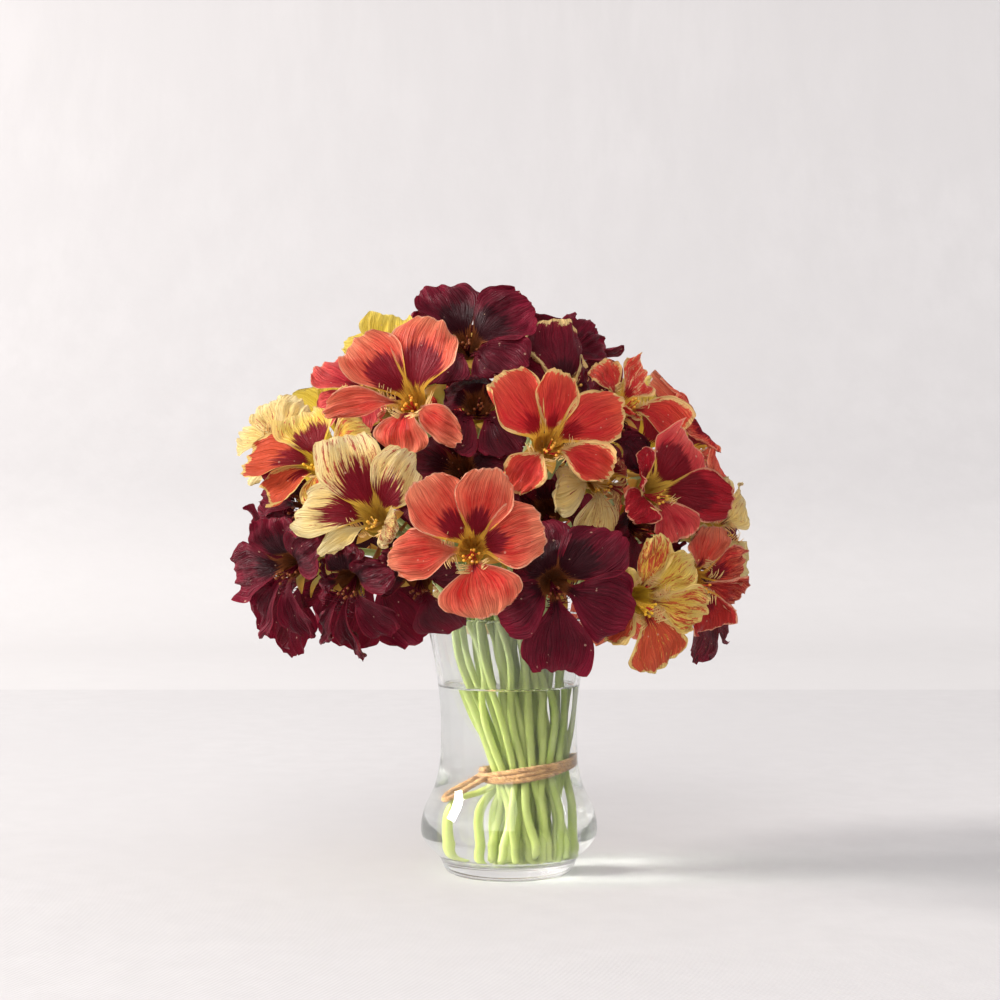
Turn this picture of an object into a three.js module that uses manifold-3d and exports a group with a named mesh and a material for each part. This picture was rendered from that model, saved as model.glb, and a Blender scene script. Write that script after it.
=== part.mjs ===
// A hand-tied bouquet of nasturtium blooms in a small tulip glass of water.
// Millimetres, +Z up. The origin is the centre of the glass's foot, on the table; -Y is the bouquet's front.
//
// Every bloom is one closed sheet: a throat ring with five clawed, waved petals. The blooms are listed from the
// outermost inwards, and a bloom's petals are bent under those of each bloom that comes before it in the list.
// The stems, each with its calyx and spur, are one bunch, which the twine ties and the water stands around.
import * as THREE from "three";
import { mergeVertices } from "three/addons/utils/BufferGeometryUtils.js";
import Module from "manifold-3d";

const wasm = await Module();
wasm.setup();

// ---- driving dimensions ----
const GAP = 0.3; // between solids that touch
const GLASS_SIDES = 24;
const GLASS_OUTSIDE = [
  [0, 0], [21.5, 0], [23.6, 1.2], [25.2, 5], [30.4, 9.6], [32.7, 16.5], [31.2, 24], [27.6, 31.5],
  [25.6, 41], [25.3, 58], [27, 75], [30.6, 93.4], [30.6, 95],
];
const GLASS_INSIDE = [
  [29.2, 95], [25.1, 75], [23.4, 58], [23.7, 41], [25.9, 30.5], [29.3, 22.5], [30.4, 16.5], [28, 10.6],
  [22.6, 6.6], [0, 6],
];
const WATER_LEVEL = 69;

const PETAL_THICKNESS = 0.7;
const PETAL_LENGTH = 28; // from the throat ring to the tip, along the petal
const PETAL_HALF_WIDTH = 12.5;
const THROAT_RADIUS = 4.4;
const THROAT_HEIGHT = -3; // the ring, below the bloom's reference point along its axis
const THROAT_FLOOR = -6.5;
const THROAT_FOOT = -10.5; // the lowest point of the corolla, which sits on the calyx
const BLOOM_CORE = 7; // radius about a bloom's reference point that no neighbour may enter
const CLAW_SLOPE = 52; // degrees, of the claw as it leaves the throat
const CLAW_END = 0.42; // share of the petal by which it has turned to its own opening
const PETAL_CURL = [-34, 30]; // degrees that the blade bends by towards its tip, and the spread of that
const CLAW_WIDTH = 0.2; // share of the full width
const BLADE = { start: 0.12, widest: 0.7, taperStart: 0.75, taper: 0.42, roundTip: 0.2 }; // shares of the petal
const PETAL_CUP = 2.4; // rise of a petal's edges over its middle
const PETAL_RUFFLE = 2.2;
const NOTCH = 0.03; // wave of the tip's edge, as a share of the petal
const PETAL_SEAM = 0.7; // left free beside the edge of a petal's own sector
const USUAL_ANGLES = [54, 126, 198, 270, 342];
const USUAL_WIDTH = 1.2;
const FOLD_SOFTNESS = 2; // radius of the bend where a petal meets its neighbour

const STEM_RADIUS = 1.6;
const STEM_SIDES = 5;
const STEM_END_SPREAD = 5; // the cut ends stand at different heights
const TIED_SQUEEZE = 0.86; // share of a stem's radius left in the tie
const STEM_HANDLES = [0.4, 0.35]; // how far it runs straight at both ends of its bend, as shares of the way
const CALYX_RADIUS = 3.3;
const CALYX_FOOT = -19; // where the stem meets the calyx, below the bloom's reference point
const SPUR = { root: -12.5, length: 19, rise: 6, radii: [0.7, 2], sides: 4 };
const DOME_CENTRE = new THREE.Vector3(-4, 0, 120);
const DOME_RADIUS = 82;
const MOUTH = { x: -2, y: 0, z: 98, radiusX: 22, radiusY: 21 }; // the bunch just above the rim
const TIE = { x: 6, y: 0, z: 38, radiusX: 10.6, radiusY: 9.4, slope: Math.tan(THREE.MathUtils.degToRad(10)) };
const FOOT = { x: 5, y: 0, z: 6.9, radiusX: 13, radiusY: 11, swirl: THREE.MathUtils.degToRad(24) };
const STEM_SPACING = 0.29; // between stems in the bunch, as a share of its radius
const LOWEST_PLACE = -0.45; // of a bloom on the dome that still moves its stem outwards in the bunch
const TWINE_RADIUS = 1.15;
const TWINE_HEIGHT = 6.6; // of the band of turns
const TIE_CORE = { past: 0.6, short: 2 }; // the pressed stems: past their middles, short of the band's edges
// One short stem leaves the bunch under the tie and hooks over at the glass's left. A loop of twine holds it.
const STRAY_STEM = [
  [-3.5, -1, 41], [-4.4, -1, 32.5], [-9, -2, 28.5], [-15.5, -4.2, 26], [-19, -5, 20], [-18, -5, 12],
  [-12.5, -5, 9.4],
];
const TWINE_LOOP = [
  [-6, -5.6, 36], [-10.5, -6.8, 33], [-17.5, -7.9, 28], [-20.8, -4.8, 25.8], [-18, -1.2, 28], [-11, 0.6, 33],
  [-7.2, 2.6, 35.8],
];
const TWINE_STEPS = 20;
const LOOP_SIDES = 6;
const STRAY_THICKER = 1.15;
// The water's wide hole round the tied part of the bunch, and the one beside the stray stem.
const WIDE_HOLE = { below: 2.5, rise: 3, top: 19, lean: -2.4, flare: 1.6, depth: 0.93 };
const STRAY_HOLE = { radius: 4.4, sides: 8 };
const WATER_GAP = GAP * 1.15;

// ---- the blooms, from the outermost inwards ----
// at: the throat; face: [azimuth, elevation] of the bloom's axis, azimuth 0 to the front (-Y) and 90 to +X.
// petals: [angle round the axis from the right, length factor, opening in degrees above the bloom's plane,
// width factor].
const FRONT_BLOOMS = [
  { kind: "coral", at: [-13, -84, 123], face: [-5, 10],
    petals: [[14, 0.83, 14, 0.78], [80, 0.87, 22, 0.84], [142, 0.82, 16, 0.8], [190, 0.92, 0, 0.52],
      [283, 0.72, 5, 0.85]] },
  { kind: "cream", at: [-46, -72, 133], face: [-18, 16],
    petals: [[51, 0.92, 26, 0.76], [112, 1.02, 18, 0.86], [179, 0.91, 10, 0.84], [226, 0.74, 34, 0.36],
      [330, 0.6, 38, 0.5]] },
  { kind: "coral_edged", at: [13, -72, 158], face: [8, 22],
    petals: [[23, 0.97, 12, 0.74], [80, 0.82, 24, 0.6], [130, 0.96, 20, 0.92], [232, 0.76, -5, 0.54],
      [326, 0.8, 5, 0.54]] },
  { kind: "coral", at: [-34, -60, 173], face: [-18, 26],
    petals: [[77, 1, 16, 0.95], [139, 1, 16, 0.86], [196, 1.08, 5, 0.5], [268, 0.78, -5, 0.88],
      [317, 1.06, 8, 0.46]] },
  { kind: "maroon", at: [15, -80, 111], face: [8, -4],
    petals: [[41, 0.86, 10, 0.8], [98, 0.92, 14, 0.74], [190, 0.55, 26, 0.8], [272, 1.14, -18, 0.84],
      [338, 0.84, -5, 0.62]] },
  { kind: "flame", at: [45, -69, 105], face: [30, -4],
    petals: [[40, 0.66, 14, 0.66], [84, 0.76, 30, 0.5], [159, 0.5, 30, 0.5], [222, 0.62, 0, 0.34],
      [290, 0.8, -10, 0.86], [350, 0.8, 6, 0.5]] },
  { kind: "coral_red", at: [50, -59, 142], face: [34, 10],
    petals: [[50, 0.78, 14, 0.95], [146, 0.7, 44, 0.6], [216, 0.62, 24, 0.66], [291, 0.62, 5, 0.8],
      [350, 1.05, 6, 0.7]] },
  { kind: "flame", at: [-66, -48, 152], face: [-32, 34],
    petals: [[21, 0.75, 15, 0.8], [128, 0.74, 12, 0.84], [188, 1, 4, 0.84], [232, 0.8, -5, 0.8],
      [302, 0.72, 0, 0.66]] },
  { kind: "maroon", at: [-15, -36, 194], face: [-4, 34],
    petals: [[30, 0.88, 6, 1], [120, 0.86, 14, 1], [172, 0.66, 0, 0.66], [235, 0.66, -5, 0.7],
      [325, 0.84, -2, 0.78]] },
  { kind: "maroon", at: [-78, -46, 115], face: [-36, -10],
    petals: [[27, 0.78, 8, 0.7], [98, 0.6, 14, 0.76], [187, 0.78, 4, 0.84], [234, 1.02, -10, 0.56],
      [278, 0.94, -14, 0.56]] },
  { kind: "coral_edged", at: [41, -28, 173], face: [42, 34],
    petals: [[42, 0.72, 10, 0.6], [112, 0.52, 8, 0.86], [214, 0.62, 0, 0.66], [322, 0.92, -8, 0.8]] },
  { kind: "coral", at: [66, -43, 110], face: [40, -4],
    petals: [[18, 0.74, 6, 0.66], [84, 0.66, 14, 0.86], [175, 0.6, 0, 0.6], [300, 0.68, -10, 0.74],
      [345, 0.78, -6, 0.56]] },
  { kind: "cream", at: [76, -22, 126], face: [56, 4],
    petals: [[40, 0.72, 8, 0.7], [118, 0.76, 14, 0.95], [205, 0.66, 0, 0.7], [325, 1.02, -20, 0.5]] },
  { kind: "maroon", at: [-56, -61, 110], face: [-24, -18],
    petals: [[28, 0.76, 10, 0.66], [88, 0.6, 14, 0.8], [176, 0.7, 0, 0.66], [232, 1.16, -30, 0.3],
      [262, 1.24, -34, 0.36], [310, 0.84, -12, 0.66]] },
  { kind: "maroon", at: [-73, -42, 136], face: [-42, 8],
    petals: [[112, 0.66, 14, 0.84], [172, 0.66, 0, 0.6], [216, 0.7, -5, 0.66], [288, 0.66, -5, 0.84],
      [20, 0.6, 10, 0.7]] },
  { kind: "coral_red", at: [-51, -26, 177], face: [-34, 34],
    petals: [[36, 0.6, 5, 0.84], [108, 0.74, 12, 0.76], [156, 0.86, 8, 0.76], [214, 0.7, -2, 0.84],
      [290, 0.6, -5, 0.8]] },
  { kind: "cream", at: [-84, -16, 159], face: [-50, 28],
    petals: [[80, 0.64, 10, 0.66], [134, 0.7, 10, 0.72], [176, 0.86, 2, 0.66], [240, 0.55, -5, 0.8],
      [318, 0.7, 0, 0.66]] },
  { kind: "maroon_edged", at: [20, -36, 177], face: [14, 36],
    petals: [[12, 0.8, -4, 0.84], [60, 0.8, 8, 0.8], [118, 0.82, 12, 1], [185, 0.7, 0, 0.84],
      [280, 0.66, -8, 0.7]] },
  { kind: "yellow", at: [-43, -24, 186], face: [-22, 34],
    petals: [[46, 0.6, 5, 0.8], [102, 0.72, 14, 0.84], [158, 0.72, 6, 0.78], [220, 0.6, -5, 0.78],
      [300, 0.6, -5, 0.66]] },
  { kind: "maroon", at: [19, -2, 189], face: [22, 44],
    petals: [[22, 0.8, -4, 0.6], [50, 0.88, 6, 0.56], [106, 0.52, 6, 0.78], [180, 0.6, 0, 0.84],
      [280, 0.6, -5, 0.7]] },
];
const FINE_BLOOMS = 12; // the first of them, which have three rows of points up each petal
const DEEP_BLOOMS = [
  { kind: "cream", at: [31, -58, 146], face: [24, 4],
    petals: [[39, 0.9, 12, 0.9], [100, 0.84, 20, 0.84], [190, 1, 0, 0.8], [262, 1, -6, 0.8],
      [325, 0.96, 6, 0.84]] },
  { kind: "maroon", at: [-11, -50, 172], face: [4, 28],
    petals: [[37, 1.1, 8, 1.1], [99, 1.1, 14, 1.1], [161, 1.1, 6, 1.1], [228, 1.1, -5, 1.1],
      [306, 1.1, -2, 1.1]] },
  { kind: "maroon", at: [-32, -62, 110], face: [-14, -34],
    petals: [[30, 0.7, 5, 0.8], [92, 0.9, 10, 0.9], [150, 0.7, 5, 0.8], [298, 0.78, -6, 0.84]] },
  { kind: "maroon", at: [-17, -60, 149], face: [-10, 14],
    petals: [[20, 1.1, 10, 1.1], [85, 1.1, 14, 1.1], [163, 1.1, 4, 1.1], [231, 1.1, -5, 1.1],
      [309, 1.1, 0, 1.1]] },
  { kind: "maroon", at: [-43, -42, 151], face: [-30, 16] },
  { kind: "maroon", at: [46, -38, 130], face: [44, 0] },
  { kind: "maroon", at: [34, -36, 164], face: [40, 24] },
  { kind: "maroon", at: [13, -61, 134], face: [2, 2],
    petals: [[30, 1.1, 8, 1.1], [95, 1, 14, 1.1], [165, 1.1, 4, 1.1], [235, 1, -5, 1.1],
      [305, 1.1, 0, 1.1]] },
];
// The blooms at the back stand on the dome in rows: [elevation, azimuths, kinds].
const BACK_ROWS = [
  [-7, [106, 143, 180, 217, 252], ["maroon", "coral", "cream", "maroon", "maroon"]],
  [27, [92, 128, 164, 201, 239], ["coral", "flame", "maroon", "coral", "yellow"]],
  [58, [152, 218], ["maroon", "maroon"]],
];

const COLOURS = {
  coral: 0xe8604a, coral_edged: 0xd9483a, coral_red: 0xc22a30, cream: 0xe6cf86, flame: 0xe59a3c,
  yellow: 0xecc63c, maroon: 0x5e0f20, maroon_edged: 0x4d0d1c, stem: 0x9dbb45, twine: 0xb47a3e, water: 0xeaf4ee,
  glass: 0xe4f0ea,
};

// ---- small helpers ----
const radians = THREE.MathUtils.degToRad;
const smoothstep = THREE.MathUtils.smoothstep;
const vector = (x, y, z) => new THREE.Vector3(x, y, z);
const along = (point, direction, distance) => point.clone().addScaledVector(direction, distance);
const direction = (azimuth, elevation) => {
  const [a, e] = [radians(azimuth), radians(elevation)];
  return vector(Math.sin(a) * Math.cos(e), -Math.cos(a) * Math.cos(e), Math.sin(e));
};
// The same number between 0 and 1 each time for the same seed.
function random(seed) {
  const x = Math.sin(seed * 12.9898 + 4.1414) * 43758.5453;
  return x - Math.floor(x);
}

function solidOf(geometry) {
  const plain = geometry.clone();
  plain.deleteAttribute("normal");
  plain.deleteAttribute("uv");
  const merged = mergeVertices(plain, 1e-4);
  return new wasm.Manifold(
    new wasm.Mesh({
      numProp: 3,
      vertProperties: merged.getAttribute("position").array,
      triVerts: new Uint32Array(merged.index.array),
    }),
  );
}

function geometryOf(solid) {
  const mesh = solid.getMesh();
  const geometry = new THREE.BufferGeometry();
  geometry.setAttribute("position", new THREE.BufferAttribute(new Float32Array(mesh.vertProperties), 3));
  geometry.setIndex(new THREE.BufferAttribute(new Uint32Array(mesh.triVerts), 1));
  geometry.computeVertexNormals();
  return geometry;
}

function indexedGeometry(points, faces) {
  const geometry = new THREE.BufferGeometry().setFromPoints(points);
  geometry.setIndex(faces.flat());
  geometry.computeVertexNormals();
  return geometry;
}

const largestPiece = (solid) => solid.decompose().reduce((a, b) => (b.volume() > a.volume() ? b : a));

function named(name, geometry, color, roughness = 0.5, extra = {}) {
  const material = new THREE.MeshStandardMaterial({ color, roughness, metalness: 0, ...extra });
  const mesh = new THREE.Mesh(geometry, material);
  mesh.name = name;
  return mesh;
}

// ---- blooms: places and planes ----
function placeBloom(bloom, number) {
  const axis = direction(...bloom.face);
  const right = vector(0, 0, 1).cross(axis).normalize();
  const up = axis.clone().cross(right);
  const petals = bloom.petals ?? USUAL_ANGLES.map((angle, k) => {
    const draw = random(number * 7 + k);
    const turned = angle + 50 * random(number * 3) + 10 * draw;
    return [turned, 1.04 + 0.16 * random(number * 11 + k), 26 * draw - 8, USUAL_WIDTH];
  });
  return { ...bloom, number, axis, right, up, petals, centre: vector(...bloom.at), planes: [] };
}

function backBlooms() {
  return BACK_ROWS.flatMap(([elevation, azimuths, kinds]) =>
    azimuths.map((azimuth, k) => ({
      kind: kinds[k],
      at: along(DOME_CENTRE, direction(azimuth, elevation), DOME_RADIUS).toArray(),
      face: [azimuth, elevation],
    })),
  );
}

// A plane between two blooms: the outer one stays before it, and the inner one is bent behind it.
function separate(outer, inner) {
  const apart = inner.centre.clone().sub(outer.centre);
  const distance = apart.length();
  if (distance > 2 * PETAL_LENGTH + 10) return;
  const rise = apart.dot(outer.axis);
  const sideways = along(apart, outer.axis, -rise);
  const reach = sideways.length();
  sideways.normalize();
  const steepest = Math.atan2(reach, -rise);
  const room = Math.min(1, (2 * BLOOM_CORE + 1) / distance);
  const tilt = Math.min(steepest, Math.max(radians(18), steepest - Math.acos(room) + radians(8)));
  const normal = sideways.clone().multiplyScalar(Math.sin(tilt)).addScaledVector(outer.axis, -Math.cos(tilt));
  const most = apart.dot(normal) - BLOOM_CORE;
  const wanted = (THROAT_RADIUS + PETAL_LENGTH) * Math.sin(tilt);
  const offset = most < BLOOM_CORE ? (most + BLOOM_CORE) / 2 : Math.min(most, Math.max(BLOOM_CORE, wanted));
  const margin = PETAL_THICKNESS / 2 + GAP;
  outer.planes.push({ point: along(outer.centre, normal, offset - margin), normal });
  inner.planes.push({ point: along(outer.centre, normal, offset + margin), normal: normal.clone().negate() });
  const clearOfSpur = BLOOM_CORE - 0.5;
  if (reach > 2 * BLOOM_CORE) {
    inner.planes.push({ point: along(outer.centre, sideways, clearOfSpur), normal: sideways.clone().negate() });
  }
}

// Planes that keep a bloom's petals off another's stem, one for each length of it.
function keepClear(bloom, path) {
  for (let k = 1; k < path.length; k++) {
    const stretch = new THREE.Line3(path[k - 1], path[k]);
    const nearest = stretch.closestPointToPoint(bloom.centre, true, vector(0, 0, 0));
    const normal = nearest.clone().sub(bloom.centre);
    const distance = normal.length();
    if (distance < BLOOM_CORE + CALYX_RADIUS || distance > PETAL_LENGTH + 2 * BLOOM_CORE) continue;
    normal.normalize();
    bloom.planes.push({ point: along(nearest, normal, -STEM_RADIUS - 1), normal });
  }
}

// Bends a point of a petal back to its own side of every plane.
function fit(point, planes) {
  for (let round = 0; round < 8; round++) {
    for (const { point: on, normal } of planes) {
      const past = point.clone().sub(on).dot(normal);
      const back = round === 0 ? (past + Math.hypot(past, FOLD_SOFTNESS)) / 2 : Math.max(0, past);
      point.addScaledVector(normal, -back);
    }
  }
  return point;
}

// ---- petals ----
const SPINE_STEPS = 20;

// The petal's middle line in the plane of its axis: distance out, height, and slope at each step.
function spineOf(length, opening, curl) {
  const claw = radians(CLAW_SLOPE);
  const spine = [{ out: THROAT_RADIUS, height: THROAT_HEIGHT, slope: claw }];
  for (let k = 1; k <= SPINE_STEPS; k++) {
    const t = (k - 0.5) / SPINE_STEPS;
    const turned = smoothstep(t, 0, CLAW_END);
    const slope = opening + (claw - opening) * (1 - turned) + curl * smoothstep(t, 0.5, 1);
    const last = spine[k - 1];
    const step = length / SPINE_STEPS;
    spine.push({ out: last.out + step * Math.cos(slope), height: last.height + step * Math.sin(slope), slope });
  }
  return spine;
}

function onSpine(spine, t) {
  const at = Math.min(Math.max(t, 0), 1) * SPINE_STEPS;
  const k = Math.min(Math.floor(at), SPINE_STEPS - 1);
  const mix = at - k;
  const value = (name) => spine[k][name] * (1 - mix) + spine[k + 1][name] * mix;
  return { out: value("out"), height: value("height"), slope: value("slope") };
}

// u runs from the throat to the tip, and v from one edge (-1) to the other (1).
function petalPoint(bloom, k, u, v) {
  const [angle, stretch, openingDegrees, breadth] = bloom.petals[k];
  const count = bloom.petals.length;
  const turnTo = (other) => Math.abs(THREE.MathUtils.euclideanModulo(other - angle + 180, 360) - 180);
  const nextAngle = bloom.petals[(k + (v > 0 ? 1 : count - 1)) % count][0];
  const sector = radians(Math.min(turnTo(nextAngle) / 2, 55));
  const seed = bloom.number * 31 + k * 5;
  const length = PETAL_LENGTH * stretch;
  const curl = radians(PETAL_CURL[0] + PETAL_CURL[1] * random(seed + 1));
  const notch = NOTCH * u ** 3 * Math.sin(6 * v + 9 * random(seed + 2));
  const reached = u * (1 - BLADE.roundTip * v * v * u * u) + notch;
  const spine = onSpine(spineOf(length, radians(openingDegrees), curl), reached);
  const taper = 1 - BLADE.taper * smoothstep(u, BLADE.taperStart, 1);
  const width = (CLAW_WIDTH + (1 - CLAW_WIDTH) * smoothstep(u, BLADE.start, BLADE.widest)) * taper;
  const ruffle = PETAL_RUFFLE * u * u * Math.sin(3.1 * v + 2 * Math.PI * random(seed + 3)) * Math.abs(v);
  const lift = PETAL_CUP * width * v * v + ruffle;
  const out = spine.out - lift * Math.sin(spine.slope);
  const height = spine.height + lift * Math.cos(spine.slope);
  const limit = Math.max(0.5, out * Math.tan(sector) - PETAL_SEAM);
  const across = v * Math.min(PETAL_HALF_WIDTH * breadth * width, limit);
  return inBloom(bloom, angle, out, across, height);
}

function inBloom(bloom, angle, out, across, height) {
  const [c, s] = [Math.cos(radians(angle)), Math.sin(radians(angle))];
  return bloom.centre
    .clone()
    .addScaledVector(bloom.right, c * out - s * across)
    .addScaledVector(bloom.up, s * out + c * across)
    .addScaledVector(bloom.axis, height);
}

// ---- one bloom's corolla as a closed sheet ----
function corolla(bloom, rows) {
  const points = [];
  const faces = [];
  const add = (point) => points.push(point) - 1;
  const count = bloom.petals.length;
  const angles = bloom.petals.map((petal) => petal[0]);
  const corners = angles.map((angle, k) => {
    const turn = THREE.MathUtils.euclideanModulo(angles[(k + 1) % count] - angle, 360);
    return add(inBloom(bloom, angle + turn / 2, THROAT_RADIUS, 0, THROAT_HEIGHT));
  });
  const throat = add(inBloom(bloom, 0, 0, 0, THROAT_FLOOR));
  for (let k = 0; k < count; k++) {
    const root = add(inBloom(bloom, angles[k], THROAT_RADIUS, 0, THROAT_HEIGHT));
    let below = [corners[(k + count - 1) % count], root, corners[k]];
    faces.push([throat, below[0], root], [throat, root, below[2]]);
    for (const u of rows) {
      const row = [-1, 0, 1].map((v) => add(fit(petalPoint(bloom, k, u, v), bloom.planes)));
      faces.push([below[0], row[0], row[1]], [below[0], row[1], below[1]]);
      faces.push([below[1], row[1], below[2]], [row[1], row[2], below[2]]);
      below = row;
    }
  }
  const foot = inBloom(bloom, 0, 0, 0, THROAT_FOOT);
  return thicken(points, faces, PETAL_THICKNESS, new Map([[throat, [points[throat], foot]]]));
}

// A sheet given thickness along its own normals. Points in fixed get the top and bottom that it names.
function thicken(points, faces, thickness, fixed) {
  const normals = points.map(() => vector(0, 0, 0));
  for (const [a, b, c] of faces) {
    const normal = points[b].clone().sub(points[a]).cross(points[c].clone().sub(points[a]));
    for (const i of [a, b, c]) normals[i].add(normal);
  }
  const half = thickness / 2;
  const top = points.map((p, i) => fixed.get(i)?.[0] ?? along(p, normals[i].normalize(), half));
  const bottom = points.map((p, i) => fixed.get(i)?.[1] ?? along(p, normals[i].normalize(), -half));
  const below = points.length;
  const edges = new Set(faces.flatMap(([a, b, c]) => [`${a}_${b}`, `${b}_${c}`, `${c}_${a}`]));
  const solid = faces.flatMap(([a, b, c]) => [[a, b, c], [c + below, b + below, a + below]]);
  for (const edge of edges) {
    const [a, b] = edge.split("_").map(Number);
    if (!edges.has(`${b}_${a}`)) solid.push([b, a, a + below], [b, a + below, b + below]);
  }
  return indexedGeometry([...top, ...bottom], solid);
}

// ---- stems ----
// A closed tube through the points, with its own radius at each.
function tube(points, radii, sides) {
  const vertices = [];
  const faces = [];
  let side = vector(1, 0, 0);
  points.forEach((point, k) => {
    const next = points[Math.min(k + 1, points.length - 1)];
    const tangent = next.clone().sub(points[Math.max(k - 1, 0)]).normalize();
    side = along(side, tangent, -side.dot(tangent)).normalize();
    const other = tangent.clone().cross(side);
    for (let s = 0; s < sides; s++) {
      const turn = (2 * Math.PI * s) / sides;
      vertices.push(along(along(point, side, radii[k] * Math.cos(turn)), other, radii[k] * Math.sin(turn)));
    }
  });
  const ring = (k, s) => k * sides + (s % sides);
  for (let k = 0; k + 1 < points.length; k++) {
    for (let s = 0; s < sides; s++) {
      faces.push([ring(k, s), ring(k, s + 1), ring(k + 1, s + 1)]);
      faces.push([ring(k, s), ring(k + 1, s + 1), ring(k + 1, s)]);
    }
  }
  for (let s = 1; s + 1 < sides; s++) {
    faces.push([ring(0, 0), ring(0, s + 1), ring(0, s)]);
    faces.push([ring(points.length - 1, 0), ring(points.length - 1, s), ring(points.length - 1, s + 1)]);
  }
  return indexedGeometry(vertices, faces);
}

// Each stem's place in the bunch, as a point of the unit disc: top blooms in the middle, low ones outside. The
// points are then pushed apart until they lie side by side.
function placeInBunch(all) {
  const spots = all.map((bloom) => {
    const out = bloom.centre.clone().sub(DOME_CENTRE).normalize();
    const share = (1 - Math.max(out.z, LOWEST_PLACE)) / (1 - LOWEST_PLACE);
    return new THREE.Vector2(out.x, out.y).setLength(Math.sqrt(share));
  });
  for (let round = 0; round < 200; round++) {
    for (const spot of spots) {
      for (const other of spots) {
        const apart = spot.clone().sub(other);
        const push = (STEM_SPACING - apart.length()) / 2;
        if (spot === other || push <= 0) continue;
        spot.addScaledVector(apart.normalize(), push);
        other.addScaledVector(apart, -push);
      }
    }
    spots.forEach((spot) => spot.clampLength(0, 1));
  }
  spots.forEach((spot, k) => (all[k].spot = spot));
}

// The stem's points from its cut end up to the bottom of the calyx.
function stemPath(bloom) {
  const { x: px, y: py } = bloom.spot;
  const turned = bloom.spot.clone().rotateAround(new THREE.Vector2(), FOOT.swirl);
  const lift = STEM_END_SPREAD * random(bloom.number * 5);
  const foot = vector(FOOT.x + turned.x * FOOT.radiusX, FOOT.y + turned.y * FOOT.radiusY, FOOT.z + lift);
  const tied = vector(TIE.x + px * TIE.radiusX, TIE.y + py * TIE.radiusY, TIE.z + px * TIE.radiusX * TIE.slope);
  const mouth = vector(MOUTH.x + px * MOUTH.radiusX, MOUTH.y + py * MOUTH.radiusY, MOUTH.z);
  const neck = along(bloom.centre, bloom.axis, CALYX_FOOT);
  const rise = mouth.clone().sub(tied).normalize();
  const span = neck.distanceTo(mouth);
  const above = along(mouth, rise, STEM_HANDLES[0] * span);
  const behind = along(neck, bloom.axis, -STEM_HANDLES[1] * span);
  const curve = new THREE.CubicBezierCurve3(mouth, above, behind, neck);
  return [foot, tied, ...[0, 0.3, 0.65, 1].map((t) => curve.getPoint(t))];
}

function stemSolid(bloom) {
  const path = stemPath(bloom);
  const radii = path.map((point, k) => (k === 1 ? STEM_RADIUS * TIED_SQUEEZE : STEM_RADIUS));
  path.push(along(bloom.centre, bloom.axis, THROAT_FOOT - GAP));
  radii.push(CALYX_RADIUS);
  const spurRoot = along(bloom.centre, bloom.axis, SPUR.root);
  const spurTip = along(along(spurRoot, bloom.axis, -SPUR.length), bloom.up, SPUR.rise);
  const spur = tube([spurTip, spurRoot], SPUR.radii, SPUR.sides);
  return solidOf(tube(path, radii, STEM_SIDES)).add(solidOf(spur));
}

// A disc that fills the tie to a distance past the outer stems' middles.
function tieDisc(past, height) {
  const geometry = new THREE.CylinderGeometry(1, 1, height, TWINE_STEPS).rotateX(Math.PI / 2);
  geometry.scale(TIE.radiusX + past, TIE.radiusY + past, 1);
  geometry.applyMatrix4(new THREE.Matrix4().makeShear(0, TIE.slope, 0, 0, 0, 0));
  return solidOf(geometry.translate(TIE.x, TIE.y, TIE.z));
}

function straySolid(extra) {
  const path = STRAY_STEM.map((at) => vector(...at));
  return solidOf(tube(path, path.map(() => STEM_RADIUS * STRAY_THICKER + extra), STEM_SIDES));
}

// ---- glass, water and twine ----
const lathe = (profile) => {
  const geometry = new THREE.LatheGeometry(profile.map(([r, z]) => new THREE.Vector2(r, z)), GLASS_SIDES);
  return geometry.rotateX(Math.PI / 2);
};

function glassRadiusInside(z) {
  const k = GLASS_INSIDE.findIndex(([, height]) => height <= z);
  const [[r1, z1], [r0, z0]] = [GLASS_INSIDE[k], GLASS_INSIDE[k - 1]];
  return r1 + ((r0 - r1) * (z - z1)) / (z0 - z1);
}

function waterSolid(holes) {
  const inside = GLASS_INSIDE.filter(([, z]) => z < WATER_LEVEL).reverse();
  const floor = GLASS_INSIDE.at(-2)[1];
  const profile = inside.map(([r, z]) => [Math.max(0, r - WATER_GAP), z <= floor ? z + WATER_GAP : z]);
  profile.push([glassRadiusInside(WATER_LEVEL) - WATER_GAP, WATER_LEVEL], [0, WATER_LEVEL]);
  return largestPiece(solidOf(lathe(profile)).subtract(holes));
}

// The twine's turns as one band round the bunch, and the loop it leaves at the left.
function twineSolid() {
  const outline = [
    [-1, -0.55], [-1, 0.55], [-0.62, 1], [-0.3, 0.75], [0, 1], [0.3, 0.75], [0.62, 1], [1, 0.55], [1, -0.55],
  ];
  const section = outline.map(([up, out]) => [(up * TWINE_HEIGHT) / 2, (out + 1) * TWINE_RADIUS]);
  const clear = STEM_RADIUS + GAP;
  const vertices = [];
  const faces = [];
  const sides = section.length;
  for (let k = 0; k < TWINE_STEPS; k++) {
    const turn = (2 * Math.PI * k) / TWINE_STEPS;
    for (const [up, out] of section) {
      const x = (TIE.radiusX + clear + out) * Math.cos(turn);
      const y = (TIE.radiusY + clear + out) * Math.sin(turn);
      vertices.push(vector(TIE.x + x, TIE.y + y, TIE.z + x * TIE.slope + up));
    }
  }
  for (let k = 0; k < TWINE_STEPS; k++) {
    const next = ((k + 1) % TWINE_STEPS) * sides;
    for (let s = 0; s < sides; s++) {
      const [a, b] = [k * sides + s, k * sides + ((s + 1) % sides)];
      const [c, d] = [next + ((s + 1) % sides), next + s];
      faces.push([a, c, b], [a, d, c]);
    }
  }
  return solidOf(indexedGeometry(vertices, faces)).add(loopSolid(0));
}

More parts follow.
